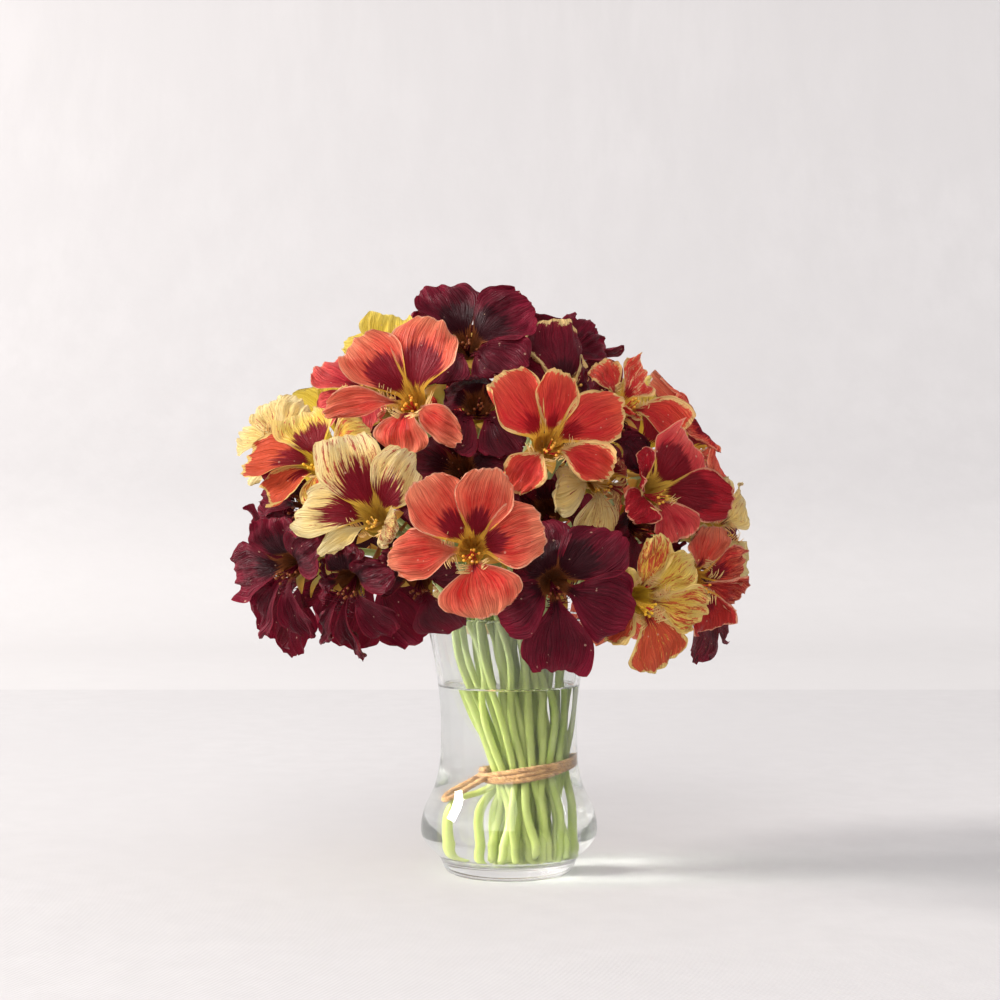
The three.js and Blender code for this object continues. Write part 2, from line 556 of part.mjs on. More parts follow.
function loopSolid(extra) {
  const path = TWINE_LOOP.map((at) => vector(...at));
  return solidOf(tube(path, path.map(() => TWINE_RADIUS * 0.9 + extra), LOOP_SIDES));
}

// ---- the bouquet ----
const bouquet = new THREE.Group();
const blooms = [...FRONT_BLOOMS, ...backBlooms(), ...DEEP_BLOOMS].map((bloom, k) => placeBloom(bloom, k + 1));
blooms.forEach((outer, k) => blooms.slice(k + 1).forEach((inner) => separate(outer, inner)));
placeInBunch(blooms);
blooms.forEach((bloom) => blooms.forEach((other) => bloom !== other && keepClear(bloom, stemPath(other))));

for (const bloom of blooms) {
  const rows = bloom.number <= FINE_BLOOMS ? [0.3, 0.7, 1] : [0.5, 1];
  const name = `bloom_${String(bloom.number).padStart(2, "0")}_${bloom.kind}`;
  bouquet.add(named(name, corolla(bloom, rows), COLOURS[bloom.kind], 0.6, { side: THREE.DoubleSide }));
}

// The twine presses the stems into one core behind the band.
const core = tieDisc(TIE_CORE.past, TWINE_HEIGHT - TIE_CORE.short);
const stems = largestPiece(wasm.Manifold.union([...blooms.map(stemSolid), straySolid(0), core]));
bouquet.add(named("stems", geometryOf(stems), COLOURS.stem, 0.45));
bouquet.add(named("twine", geometryOf(twineSolid()), COLOURS.twine, 0.9));

const holeRadius = STEM_RADIUS + GAP * 1.3;
const holes = blooms.map((bloom) => {
  const path = stemPath(bloom).slice(0, 3);
  return solidOf(tube(path, path.map(() => holeRadius), STEM_SIDES));
});
// The tied part of the bunch and its twine stand in one wide hole.
const wide = STEM_RADIUS + 2 * TWINE_RADIUS + 3 * GAP;
const line = [
  vector(FOOT.x, 0, 0),
  vector(TIE.x, 0, TIE.z + WIDE_HOLE.rise),
  vector(TIE.x + WIDE_HOLE.lean, 0, TIE.z + WIDE_HOLE.top),
];
const tiedRadius = TIE.radiusX + wide;
const lineRadii = [FOOT.radiusX + WIDE_HOLE.below, tiedRadius, tiedRadius + WIDE_HOLE.flare];
const tied = tube(line, lineRadii, TWINE_STEPS);
holes.push(solidOf(tied.scale(1, WIDE_HOLE.depth, 1)));
const beside = STRAY_STEM.slice(1, 5).map((at) => vector(...at));
holes.push(solidOf(tube(beside, beside.map(() => STRAY_HOLE.radius), STRAY_HOLE.sides)));
holes.push(straySolid(GAP * 1.4), loopSolid(GAP * 1.4));
const clear = { transparent: true, opacity: 0.3 };
bouquet.add(named("water", geometryOf(waterSolid(wasm.Manifold.union(holes))), COLOURS.water, 0.05, clear));
bouquet.add(named("glass", lathe([...GLASS_OUTSIDE, ...GLASS_INSIDE]), COLOURS.glass, 0.03, clear));

export default bouquet;
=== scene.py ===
"""The looks of a hand-tied nasturtium bouquet in a small tulip glass of water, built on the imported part."""

import math

import bpy
import numpy as np
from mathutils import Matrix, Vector


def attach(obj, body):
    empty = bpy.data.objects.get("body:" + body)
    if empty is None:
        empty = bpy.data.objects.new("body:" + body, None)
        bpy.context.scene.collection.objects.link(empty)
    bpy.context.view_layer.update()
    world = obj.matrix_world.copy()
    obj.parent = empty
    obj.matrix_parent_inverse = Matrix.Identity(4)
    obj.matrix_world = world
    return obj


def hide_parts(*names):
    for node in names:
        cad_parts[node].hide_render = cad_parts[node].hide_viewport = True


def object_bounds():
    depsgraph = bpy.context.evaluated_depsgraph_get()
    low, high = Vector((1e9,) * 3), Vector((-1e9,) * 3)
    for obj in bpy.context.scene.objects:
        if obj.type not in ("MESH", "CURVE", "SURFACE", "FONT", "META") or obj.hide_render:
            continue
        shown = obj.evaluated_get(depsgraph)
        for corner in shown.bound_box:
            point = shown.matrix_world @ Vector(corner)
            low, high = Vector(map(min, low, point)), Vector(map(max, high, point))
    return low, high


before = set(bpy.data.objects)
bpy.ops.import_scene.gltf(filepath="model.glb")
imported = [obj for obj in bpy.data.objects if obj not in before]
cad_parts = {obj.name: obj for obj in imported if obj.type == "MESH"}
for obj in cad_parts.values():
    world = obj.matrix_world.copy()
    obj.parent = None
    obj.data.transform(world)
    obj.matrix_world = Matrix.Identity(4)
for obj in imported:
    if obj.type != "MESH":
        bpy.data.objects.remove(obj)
solid_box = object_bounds()

MM = 0.001  # the makers' millimetres, in metres

# ---- driving dimensions, in millimetres ----
GAP = 0.3
# The glass's walls, as radius and height: the outside from the foot up, the inside from the rim down.
GLASS_OUTSIDE = [
    (0, 0.25), (15, 0.2), (20.6, 0), (22.6, 0.5), (24.2, 2.2), (25.2, 5), (27.2, 7.3), (30.4, 10.4),
    (32.3, 13.6), (32.7, 17), (32.2, 20.5), (31.0, 24.3), (29.2, 28.2), (27.6, 31.8), (26.4, 36),
    (25.6, 41), (25.25, 49), (25.3, 58), (25.9, 66), (27, 75), (28.6, 84), (30.3, 92.5), (30.6, 94.2),
    (30.45, 94.8), (30.1, 95),
]
GLASS_INSIDE = [
    (29.6, 95), (29.3, 94.7), (29.1, 94.1), (28.6, 91.5), (26.7, 83.5), (25.1, 75), (24.0, 66), (23.4, 58),
    (23.35, 49), (23.7, 41), (24.5, 36), (25.7, 31.5), (27.4, 27.5), (29.2, 23), (30.3, 18.5), (30.2, 14.5),
    (28.7, 11), (25.8, 8.2), (21.5, 6.7), (14, 6.15), (0, 6),
]
WATER_LEVEL = 69
MENISCUS = 0.9  # that the water's edge climbs up the wall
WATER_ROOM = 0.12
GLASS_BENDS, WATER_BENDS = 1.47, 1.27  # their indices of refraction; that of real water is 1.33
ROUND_SIDES = 96
STRAIGHT_THROUGH = 0.08  # the share of light that glass and water don't bend
SHEET_SIDE = 4000
THREAD = 0.0016  # metres from one thread of the cloth to the next
PETAL_LENGTH = 28
PETAL_HALF_WIDTH = 12.5
THROAT_RADIUS = 4.4
THROAT_HEIGHT = -3
THROAT_FOOT = -10.5
BLOOM_CORE = 7
BOX_ROOM = 1.2  # that petals keep inside the solids' box
STEM_RADIUS = 1.6
STEM_END_SPREAD = 5  # the cut ends stand at different heights
STEM_HANDLES = 0.4, 0.35  # how far a stem runs straight at both ends of its bend, as shares of the way
CALYX_RADIUS = 3.3
CALYX_FOOT = -19  # where the stem meets the calyx, below the throat's place
SPUR = dict(root=-12.5, length=19, rise=6, radius=2.0, taper=1.45)
DOME_CENTRE = np.array([-4.0, 0.0, 120.0])
DOME_RADIUS = 82
STEM_SPACING = 0.29  # between stems in the bunch, as a share of its radius
LOWEST_PLACE = -0.45  # of a bloom on the dome that still moves its stem outwards in the bunch
ROPE_RADIUS = 1.15
MOUTH = dict(x=-2, y=0, z=98, radius_x=22, radius_y=21)
TIE = dict(x=6, y=0, z=38, radius_x=10.6, radius_y=9.4, slope=math.tan(math.radians(10)))
FOOT = dict(x=5, y=0, z=6.9, radius_x=13, radius_y=11, swirl=math.radians(24))
STRAY_STEM = [
    (-3.5, -1, 41), (-4.4, -1, 32.5), (-9, -2, 28.5), (-15.5, -4.2, 26), (-19, -5, 20), (-18, -5, 12),
    (-12.5, -5, 9.4),
]
TWINE_LOOP = [
    (-6, -5.6, 36), (-10.5, -6.8, 33), (-17.5, -7.9, 28), (-20.8, -4.8, 25.8), (-18, -1.2, 28),
    (-11, 0.6, 33), (-7.2, 2.6, 35.8),
]

# ---- the blooms, from the outermost inwards ----
# Each bloom: kind, throat, (azimuth, elevation) of its axis, and its petals or None for five usual ones.
# Each petal: (angle, length, opening, width, guide mark, flush of the second colour, crumple).
FRONT_BLOOMS = [
    ("coral", (-13, -84, 123), (-5, 10), [
        (16, 0.86, 12, 0.84, 0.7, 0, 0.45), (72, 0.95, 26, 0.8, 0.7, 0, 0.4),
        (127, 0.95, 20, 0.84, 0.75, 0, 0.45), (188, 0.94, 2, 0.66, 0.15, 0.1, 0.6),
        (284, 0.78, 2, 1.05, 0.35, 0.1, 0.4)]),
    ("cream", (-46, -72, 133), (-18, 16), [
        (51, 0.92, 26, 0.76, 0.9, 0.1, 0.3), (112, 1.02, 18, 0.86, 1, 0.15, 0.4),
        (179, 0.91, 10, 0.84, 1, 0, 0.3), (226, 0.74, 34, 0.36, 0, 0, 0.3),
        (330, 0.6, 38, 0.5, 0.2, 0.2, 0.5)]),
    ("coral_edged", (13, -72, 158), (8, 22), [
        (23, 0.97, 12, 0.74, 0.7, 0, 0.3), (80, 0.82, 24, 0.6, 0.6, 0, 0.3),
        (130, 0.96, 20, 0.92, 0.7, 0, 0.3), (232, 0.76, -5, 0.54, 0.1, 0, 0.9),
        (326, 0.8, 5, 0.54, 0.2, 0, 0.8)]),
    ("coral", (-34, -60, 173), (-18, 26), [
        (77, 1, 16, 0.95, 1, 0, 0.1), (139, 1, 16, 0.86, 1, 0, 0.1), (196, 1.08, 5, 0.5, 0.25, 0, 0.4),
        (268, 0.78, -5, 0.88, 0.4, 0, 0.3), (317, 1.06, 8, 0.46, 0.2, 0.2, 0.9)]),
    ("maroon", (15, -80, 111), (8, -4), [
        (48, 1, 8, 1.05, 1, 0, 0.3), (122, 0.96, 12, 1.05, 1, 0, 0.3), (200, 0.74, 12, 1, 0.5, 0, 0.4),
        (272, 1.14, -18, 0.9, 0.4, 0, 0.4), (338, 0.96, -3, 1, 0.4, 0, 0.4)]),
    ("flame", (45, -69, 105), (30, -4), [
        (40, 0.72, 14, 0.8, 0.3, 0.1, 0.8), (92, 0.8, 26, 0.7, 0.3, 0.25, 0.9),
        (159, 0.55, 30, 0.6, 0.1, 0.1, 0.8), (222, 0.62, 0, 0.34, 0.1, 0.5, 0.8),
        (290, 0.86, -10, 0.95, 0.35, 0.45, 0.4), (350, 0.8, 6, 0.7, 0.3, 0.2, 0.8)]),
    ("coral_red", (50, -59, 142), (34, 10), [
        (50, 0.78, 14, 0.95, 1, 0, 0.2), (146, 0.7, 44, 0.6, 0.6, 0.7, 0.4),
        (216, 0.62, 24, 0.66, 0.1, 0.6, 0.6), (291, 0.62, 5, 0.8, 0.2, 0, 0.5),
        (350, 1.05, 6, 0.7, 1, 0.8, 0.3)]),
    ("flame", (-66, -48, 152), (-32, 34), [
        (21, 0.75, 15, 0.8, 0.1, 0.15, 0.5), (128, 0.74, 12, 0.84, 1, 0.05, 0.4),
        (188, 1, 4, 0.84, 0.8, 1, 0.3), (232, 0.8, -5, 0.8, 0.6, 1, 0.5),
        (302, 0.72, 0, 0.66, 0.3, 0.2, 0.6)]),
    ("maroon", (-15, -36, 194), (-4, 34), [
        (30, 0.88, 6, 1, 1, 0, 0.7), (120, 0.86, 14, 1, 1, 0, 0.5), (172, 0.7, 0, 0.8, 0.4, 0, 0.4),
        (238, 0.86, -5, 0.95, 0.2, 0, 0.6), (318, 0.88, -2, 0.95, 0.2, 0, 0.8)]),
    ("maroon", (-78, -46, 115), (-36, -10), [
        (27, 0.78, 8, 0.7, 0.6, 0, 0.6), (98, 0.6, 14, 0.76, 1, 0, 0.5), (187, 0.78, 4, 0.84, 0.8, 0, 0.5),
        (234, 1.02, -10, 0.56, 0.2, 0, 1), (278, 0.94, -14, 0.56, 0.1, 0, 1)]),
    ("coral_edged", (41, -28, 173), (42, 34), [
        (42, 0.72, 10, 0.6, 0.5, 0.3, 0.9), (112, 0.52, 8, 0.86, 0.3, 0.2, 0.8),
        (214, 0.62, 0, 0.66, 0.2, 0, 0.6), (322, 0.92, -8, 0.8, 0.4, 0, 0.5)]),
    ("coral", (66, -43, 110), (40, -4), [
        (18, 0.74, 6, 0.66, 0.8, 0.4, 0.5), (84, 0.66, 14, 0.86, 0.4, 0, 0.5),
        (175, 0.6, 0, 0.6, 0.2, 0.2, 0.5), (300, 0.68, -10, 0.74, 0.8, 0.8, 0.6),
        (345, 0.78, -6, 0.56, 0.3, 0.5, 0.8)]),
    ("cream", (76, -22, 126), (56, 4), [
        (40, 0.72, 8, 0.7, 0.3, 0, 0.8), (118, 0.76, 14, 0.95, 0.3, 0.2, 0.6),
        (205, 0.66, 0, 0.7, 0.2, 0.2, 0.6), (325, 1.02, -20, 0.5, 0, 0, 0.8)]),
    ("maroon", (-56, -61, 110), (-24, -18), [
        (28, 0.76, 10, 0.66, 0.6, 0, 0.6), (88, 0.6, 14, 0.8, 1, 0, 0.4), (176, 0.7, 0, 0.66, 0.4, 0, 0.8),
        (232, 1.16, -30, 0.3, 0.1, 0, 1), (262, 1.24, -34, 0.36, 0.1, 0, 1),
        (310, 0.84, -12, 0.66, 0.2, 0, 0.6)]),
    ("maroon", (-73, -42, 136), (-42, 8), [
        (112, 0.66, 14, 0.84, 0.6, 0, 1), (172, 0.66, 0, 0.6, 0.4, 0, 1), (216, 0.7, -5, 0.66, 0.3, 0, 1),
        (288, 0.66, -5, 0.84, 0.3, 0, 0.8), (20, 0.6, 10, 0.7, 0.3, 0, 0.6)]),
    ("coral_red", (-51, -26, 177), (-34, 34), [
        (36, 0.6, 5, 0.84, 0.4, 0.3, 0.4), (108, 0.74, 12, 0.76, 0.5, 0, 0.2),
        (156, 0.86, 8, 0.76, 0.4, 0.1, 0.2), (214, 0.7, -2, 0.84, 0.3, 0.2, 0.4),
        (290, 0.6, -5, 0.8, 0.3, 0.2, 0.4)]),
    ("cream", (-84, -16, 159), (-50, 28), [
        (80, 0.64, 10, 0.66, 0.1, 0, 0.7), (134, 0.7, 10, 0.72, 0.5, 0.1, 0.5),
        (176, 0.86, 2, 0.66, 0.3, 0, 0.4), (240, 0.55, -5, 0.8, 0.1, 0, 0.5),
        (318, 0.7, 0, 0.66, 0.1, 0.2, 0.5)]),
    ("maroon_edged", (20, -36, 177), (14, 36), [
        (8, 0.84, -4, 0.95, 0.5, 0, 0.4), (88, 0.95, 10, 1.35, 0.7, 0, 0.3), (168, 0.7, 0, 0.95, 0.3, 0, 0.4),
        (232, 0.66, -5, 0.84, 0.3, 0, 0.4), (300, 0.66, -8, 0.84, 0.3, 0, 0.4)]),
    ("yellow", (-43, -24, 186), (-22, 34), [
        (46, 0.6, 5, 0.8, 0.3, 0, 0.4), (102, 0.72, 14, 0.84, 1, 0, 0.2), (158, 0.72, 6, 0.78, 0.6, 0, 0.3),
        (220, 0.6, -5, 0.78, 0.2, 0, 0.4), (300, 0.6, -5, 0.66, 0.2, 0, 0.4)]),
    ("maroon", (19, -2, 189), (22, 44), [
        (22, 0.8, -4, 0.6, 0.3, 0, 1), (50, 0.88, 6, 0.56, 0.4, 0, 1), (106, 0.52, 6, 0.78, 0.5, 0, 0.8),
        (180, 0.6, 0, 0.84, 0.3, 0, 0.8), (280, 0.6, -5, 0.7, 0.3, 0, 0.6)]),
]
DEEP_BLOOMS = [
    ("cream", (31, -58, 146), (24, 4), [
        (39, 0.9, 12, 0.9, 0.6, 0.4, 0.9), (100, 0.84, 20, 0.84, 0.5, 0.3, 0.9), (190, 1, 0, 0.8, 0.1, 0, 1),
        (262, 1, -6, 0.8, 0.1, 0.1, 1), (325, 0.96, 6, 0.84, 0.4, 0.3, 0.8)]),
    ("maroon", (-11, -50, 172), (4, 28), [
        (37, 1.1, 8, 1.1, 0.8, 0, 0.5), (99, 1.1, 14, 1.1, 0.9, 0, 0.4), (161, 1.1, 6, 1.1, 0.6, 0, 0.5),
        (228, 1.1, -5, 1.1, 0.3, 0, 0.6), (306, 1.1, -2, 1.1, 0.3, 0, 0.6)]),
    ("maroon", (-32, -62, 110), (-14, -34), [
        (30, 0.7, 5, 0.8, 0.2, 0, 0.3), (92, 0.9, 10, 0.9, 1, 0, 0.3), (150, 0.7, 5, 0.8, 0.5, 0, 0.3),
        (298, 0.78, -6, 0.84, 0.2, 0, 0.3)]),
    ("maroon", (-17, -60, 149), (-10, 14), [
        (20, 1.1, 10, 1.1, 0.6, 0, 0.5), (85, 1.1, 14, 1.1, 0.6, 0, 0.4), (163, 1.1, 4, 1.1, 0.6, 0, 0.4),
        (231, 1.1, -5, 1.1, 0.3, 0, 0.4), (309, 1.1, 0, 1.1, 0.3, 0, 0.4)]),
    ("maroon", (-43, -42, 151), (-30, 16), None),
    ("maroon", (46, -38, 130), (44, 0), None),
    ("maroon", (34, -36, 164), (40, 24), None),
    ("maroon", (13, -61, 134), (2, 2), [
        (30, 1.1, 8, 1.1, 0.6, 0, 0.5), (95, 1, 14, 1.1, 0.6, 0, 0.4), (165, 1.1, 4, 1.1, 0.6, 0, 0.4),
        (235, 1, -5, 1.1, 0.3, 0, 0.4), (305, 1.1, 0, 1.1, 0.3, 0, 0.4)]),
]
# The blooms at the back stand on the dome in rows: elevation, azimuths, kinds.
BACK_ROWS = [
    (-7, (106, 143, 180, 217, 252), ("maroon", "coral", "cream", "maroon", "maroon")),
    (27, (92, 128, 164, 201, 239), ("coral", "flame", "maroon", "coral", "yellow")),
    (58, (152, 218), ("maroon", "maroon")),
]
USUAL_ANGLES = (54, 126, 198, 270, 342)
USUAL_WIDTH = 1.2
FINE_BLOOMS = 20  # the first of them get the finest petals
FINE_NET, USUAL_NET = (40, 29, 8), (26, 17, 4)  # rows and columns of a petal's points, hairs beside a claw


# ---- small helpers ----
def draw(seed):
    """The same number between 0 and 1 each time for the same seed."""
    value = math.sin(seed * 12.9898 + 4.1414) * 43758.5453
    return value - math.floor(value)


def smooth(value, low, high):
    """A soft rise from 0 to 1 as a value goes from low to high."""
    t = np.clip((value - low) / (high - low), 0, 1)
    return t * t * (3 - 2 * t)


def unit(vector):
    return vector / max(np.linalg.norm(vector), 1e-9)


def direction(azimuth, elevation):
    """The way out from the bouquet's middle: azimuth 0 is the front, and 90 is the right."""
    a, e = math.radians(azimuth), math.radians(elevation)
    return np.array([math.sin(a) * math.cos(e), -math.cos(a) * math.cos(e), math.sin(e)])


class Bloom:
    """One bloom: its throat's place, its axis, its petals, and the planes that its petals stay behind."""

    def __init__(self, number, kind, at, face, petals):
        self.number, self.kind, self.centre = number, kind, np.array(at, float)
        self.axis = direction(*face)
        self.right = unit(np.cross((0, 0, 1), self.axis))
        self.up = np.cross(self.axis, self.right)
        self.planes = []
        self.petals = petals
        if petals is None:
            spin = 50 * draw(number * 3)
            self.petals = []
            for k, angle in enumerate(USUAL_ANGLES):
                turn = draw(number * 7 + k)
                length = 1.16 + 0.18 * draw(number * 11 + k)
                crumple = 0.3 + 0.6 * draw(number * 13 + k)
                flush = 0.5 * draw(number * 17 + k) ** 2
                guide = (0.8 + 0.2 * turn) if k < 2 else 0.25
                opening = 26 * turn - 8
                self.petals.append((angle + spin + 10 * turn, length, opening, USUAL_WIDTH, guide, flush,
                                    crumple))

    def at(self, angle, out, across, height):
        """Points of the bloom from their distance out at an angle, to its side, and up the bloom's axis."""
        c, s = math.cos(math.radians(angle)), math.sin(math.radians(angle))
        out, across, height = np.broadcast_arrays(out, across, height)
        return self.over(c * out - s * across, s * out + c * across, height)

    def over(self, x, y, height):
        """Points of the bloom from their places to its right, upwards and along its axis."""
        x, y, height = x[..., None], y[..., None], height[..., None]
        return self.centre + x * self.right + y * self.up + height * self.axis


# ---- where the blooms and stems stand ----
LEAST_TILT, MORE_TILT = math.radians(18), math.radians(8)  # of the plane between two blooms
FOLDS = 8  # times that the planes are gone through, the first one softly
FOLD_SOFTNESS = 2
PUSHES = 200  # times that crowded stems are pushed apart


def separate(outer, inner):
    """A plane between two blooms: the outer one stays before it, and the inner one is bent behind it."""
    apart = inner.centre - outer.centre
    distance = np.linalg.norm(apart)
    if distance > 2 * PETAL_LENGTH + 10:
        return
    rise = apart @ outer.axis
    sideways = apart - rise * outer.axis
    reach = np.linalg.norm(sideways)
    sideways = unit(sideways)
    steepest = math.atan2(reach, -rise)
    room = min(1, (2 * BLOOM_CORE + 1) / distance)
    tilt = min(steepest, max(LEAST_TILT, steepest - math.acos(room) + MORE_TILT))
    normal = sideways * math.sin(tilt) - outer.axis * math.cos(tilt)
    most = apart @ normal - BLOOM_CORE
    wanted = (THROAT_RADIUS + PETAL_LENGTH) * math.sin(tilt)
    offset = (most + BLOOM_CORE) / 2 if most < BLOOM_CORE else min(most, max(BLOOM_CORE, wanted))
    outer.planes.append((outer.centre + normal * (offset - GAP), normal))
    inner.planes.append((outer.centre + normal * (offset + GAP), -normal))
    if reach > 2 * BLOOM_CORE:
        inner.planes.append((outer.centre + sideways * (BLOOM_CORE - 0.5), -sideways))


def keep_clear(bloom, path):
    """Planes that keep a bloom's petals off another's stem, one for each length of it."""
    for start, end in zip(path, path[1:]):
        along = end - start
        share = np.clip((bloom.centre - start) @ along / (along @ along), 0, 1)
        nearest = start + share * along
        normal = nearest - bloom.centre
        distance = np.linalg.norm(normal)
        if BLOOM_CORE + CALYX_RADIUS <= distance <= PETAL_LENGTH + 2 * BLOOM_CORE:
            normal = normal / distance
            bloom.planes.append((nearest - (STEM_RADIUS + 1) * normal, normal))


def sides_of_box():
    """The planes that keep petals inside the solids' box, but for its bottom."""
    low, high = (np.array(corner) / MM for corner in solid_box)
    sides = []
    for axis in range(3):
        outwards = np.eye(3)[axis]
        sides.append((high - BOX_ROOM * outwards, outwards))
        if axis < 2:
            sides.append((low + BOX_ROOM * outwards, -outwards))
    return sides


def fit(points, planes):
    """Bends points back to their own side of every plane."""
    shape = points.shape
    points = points.reshape(-1, 3)
    for turn in range(FOLDS):
        for on, normal in planes:
            past = (points - on) @ normal
            back = (past + np.hypot(past, FOLD_SOFTNESS)) / 2 if turn == 0 else np.maximum(0, past)
            points = points - back[:, None] * normal
    return points.reshape(shape)


def place_in_bunch(blooms):
    """Each stem's place in the bunch, on a disc: top blooms in the middle, low ones outside, side by side."""
    spots = []
    for bloom in blooms:
        out = unit(bloom.centre - DOME_CENTRE)
        length = math.sqrt((1 - max(out[2], LOWEST_PLACE)) / (1 - LOWEST_PLACE))
        flat = math.hypot(out[0], out[1])
        spots.append([out[0] / flat * length, out[1] / flat * length])
    for _ in range(PUSHES):
        for spot in spots:
            for other in spots:
                x, y = spot[0] - other[0], spot[1] - other[1]
                length = math.hypot(x, y)
                push = (STEM_SPACING - length) / 2
                if spot is other or push <= 0:
                    continue
                x, y = x / (length or 1) * push, y / (length or 1) * push
                spot[0] += x
                spot[1] += y
                other[0] -= x
                other[1] -= y
        for spot in spots:
            length = math.hypot(*spot)
            if length > 1:
                spot[0] /= length
                spot[1] /= length
    for bloom, spot in zip(blooms, spots):
        bloom.spot = spot


def stem_path(bloom, shares=(0, 0.3, 0.65, 1)):
    """The stem's points from its cut end up to the bottom of the calyx."""
    x, y = bloom.spot
    c, s = math.cos(FOOT["swirl"]), math.sin(FOOT["swirl"])
    turned = (x * c - y * s, x * s + y * c)
    lift = STEM_END_SPREAD * draw(bloom.number * 5)
    foot = np.array([FOOT["x"] + turned[0] * FOOT["radius_x"], FOOT["y"] + turned[1] * FOOT["radius_y"],
                     FOOT["z"] + lift])
    tied = np.array([TIE["x"] + x * TIE["radius_x"], TIE["y"] + y * TIE["radius_y"],
                     TIE["z"] + x * TIE["radius_x"] * TIE["slope"]])
    mouth = np.array([MOUTH["x"] + x * MOUTH["radius_x"], MOUTH["y"] + y * MOUTH["radius_y"], MOUTH["z"]])
    neck = bloom.centre + CALYX_FOOT * bloom.axis
    rise = unit(mouth - tied)
    span = np.linalg.norm(neck - mouth)
    low, high = STEM_HANDLES
    corners = (mouth, mouth + low * span * rise, neck - high * span * bloom.axis, neck)
    curve = []
    for t in shares:
        weights = ((1 - t) ** 3, 3 * t * (1 - t) ** 2, 3 * t * t * (1 - t), t ** 3)
        curve.append(sum(w * corner for w, corner in zip(weights, corners)))
    return [foot, tied, *curve]


# ---- meshes ----
def net(rows, columns, closed=False):
    """The faces between rows and columns of points, closed round or open."""
    at = lambda r, c: r * columns + c % columns
    last = columns if closed else columns - 1
    return [(at(r, c), at(r, c + 1), at(r + 1, c + 1), at(r + 1, c))
            for r in range(rows - 1) for c in range(last)]


class Surface:
    """Collects the points, faces and marks of one piece."""

    def __init__(self):
        self.points, self.faces, self.marks, self.count = [], [], [], 0

    def add(self, points, faces, across=0.0, along=0.0, rim=9.0, guide=0.0, flush=0.0, pick=0.0):
        points = np.asarray(points, float).reshape(-1, 3)
        size = len(points)
        columns = [np.broadcast_to(np.asarray(m, float).reshape(-1), (size,)) for m in
                   (across, along, rim, guide, flush, pick)]
        self.points.append(points)
        self.marks.append(np.stack(columns, axis=1))
        self.faces.extend([[i + self.count for i in face] for face in faces])
        self.count += size

    def grid(self, points, **marks):
        """A sheet of rows and columns of points."""
        self.add(points, net(*points.shape[:2]), **marks)

    def tube(self, path, radii, sides, **marks):
        """A closed tube along a path. A mark may be one number or one for each point of the path."""
        path = np.asarray(path, float)
        radii = np.broadcast_to(np.asarray(radii, float), (len(path),))
        tangents = np.gradient(path, axis=0)
        side = np.array([1.0, 0.2, 0.1])
        rings = []
        turns = np.arange(sides) * 2 * math.pi / sides
        for point, tangent, radius in zip(path, tangents, radii):
            tangent = unit(tangent)
            side = unit(side - (side @ tangent) * tangent)
            other = np.cross(tangent, side)
            rings.append(point + radius * (np.cos(turns)[:, None] * side + np.sin(turns)[:, None] * other))
        rows = len(path)
        ends = [range(sides)[::-1], range((rows - 1) * sides, rows * sides)]
        faces = net(rows, sides, closed=True) + ends
        spread = {}
        for name, mark in marks.items():
            mark = np.asarray(mark, float).reshape(-1)
            spread[name] = np.repeat(mark, sides) if len(mark) == rows else mark
        self.add(np.concatenate(rings), faces, **spread)

    def piece(self, name, material, slot, replaces):
        """The mesh as a piece of the bouquet, which stands for some of the solids."""
        mesh = bpy.data.meshes.new(name)
        points = np.concatenate(self.points) * MM
        mesh.from_pydata(points, [], self.faces)
        mesh.shade_smooth()
        marks = np.concatenate(self.marks)
        corners = np.zeros(len(mesh.loops), dtype=np.int32)
        mesh.loops.foreach_get("vertex_index", corners)
        uv = mesh.uv_layers.new(name="petal")
        uv.data.foreach_set("uv", marks[corners, :2].astype(np.float32).ravel())
        for column, mark in enumerate(("rim", "guide", "flush", "pick"), start=2):
            layer = mesh.attributes.new(mark, "FLOAT", "POINT")
            layer.data.foreach_set("value", marks[:, column].astype(np.float32))
        mesh.validate()
        piece = bpy.data.objects.new(name, mesh)
        bpy.context.scene.collection.objects.link(piece)
        mesh.materials.append(material)
        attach(piece, "root")
        for node in replaces:
            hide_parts(node)
        return piece


def curve_through(points, steps):
    """A smooth curve through the points, with a number of steps between each two."""
    points = [np.asarray(p, float) for p in points]
    padded = [2 * points[0] - points[1], *points, 2 * points[-1] - points[-2]]
    curve = []
    for k in range(1, len(padded) - 2):
        before, start, end, after = padded[k - 1:k + 3]
        square = 2 * before - 5 * start + 4 * end - after
        cube = 3 * start - before - 3 * end + after
        for t in np.arange(steps) / steps:
            curve.append(0.5 * (2 * start + (end - before) * t + square * t ** 2 + cube * t ** 3))
    return np.array([*curve, points[-1]])


# ---- petals ----
CLAW_SLOPE = math.radians(52)
SPINE_STEPS = 20
CLAW_END = 0.42  # share of the petal by which it has turned to its own opening
CLAW_DEPTH = 0.3  # of the claw below the throat ring, as a share of the petal
FAR_FROM_RIM = 5.0  # the mark of parts that have no free edge
FRINGE_MARK = -2.0  # the fringe's hairs are marked by a place far below the petal
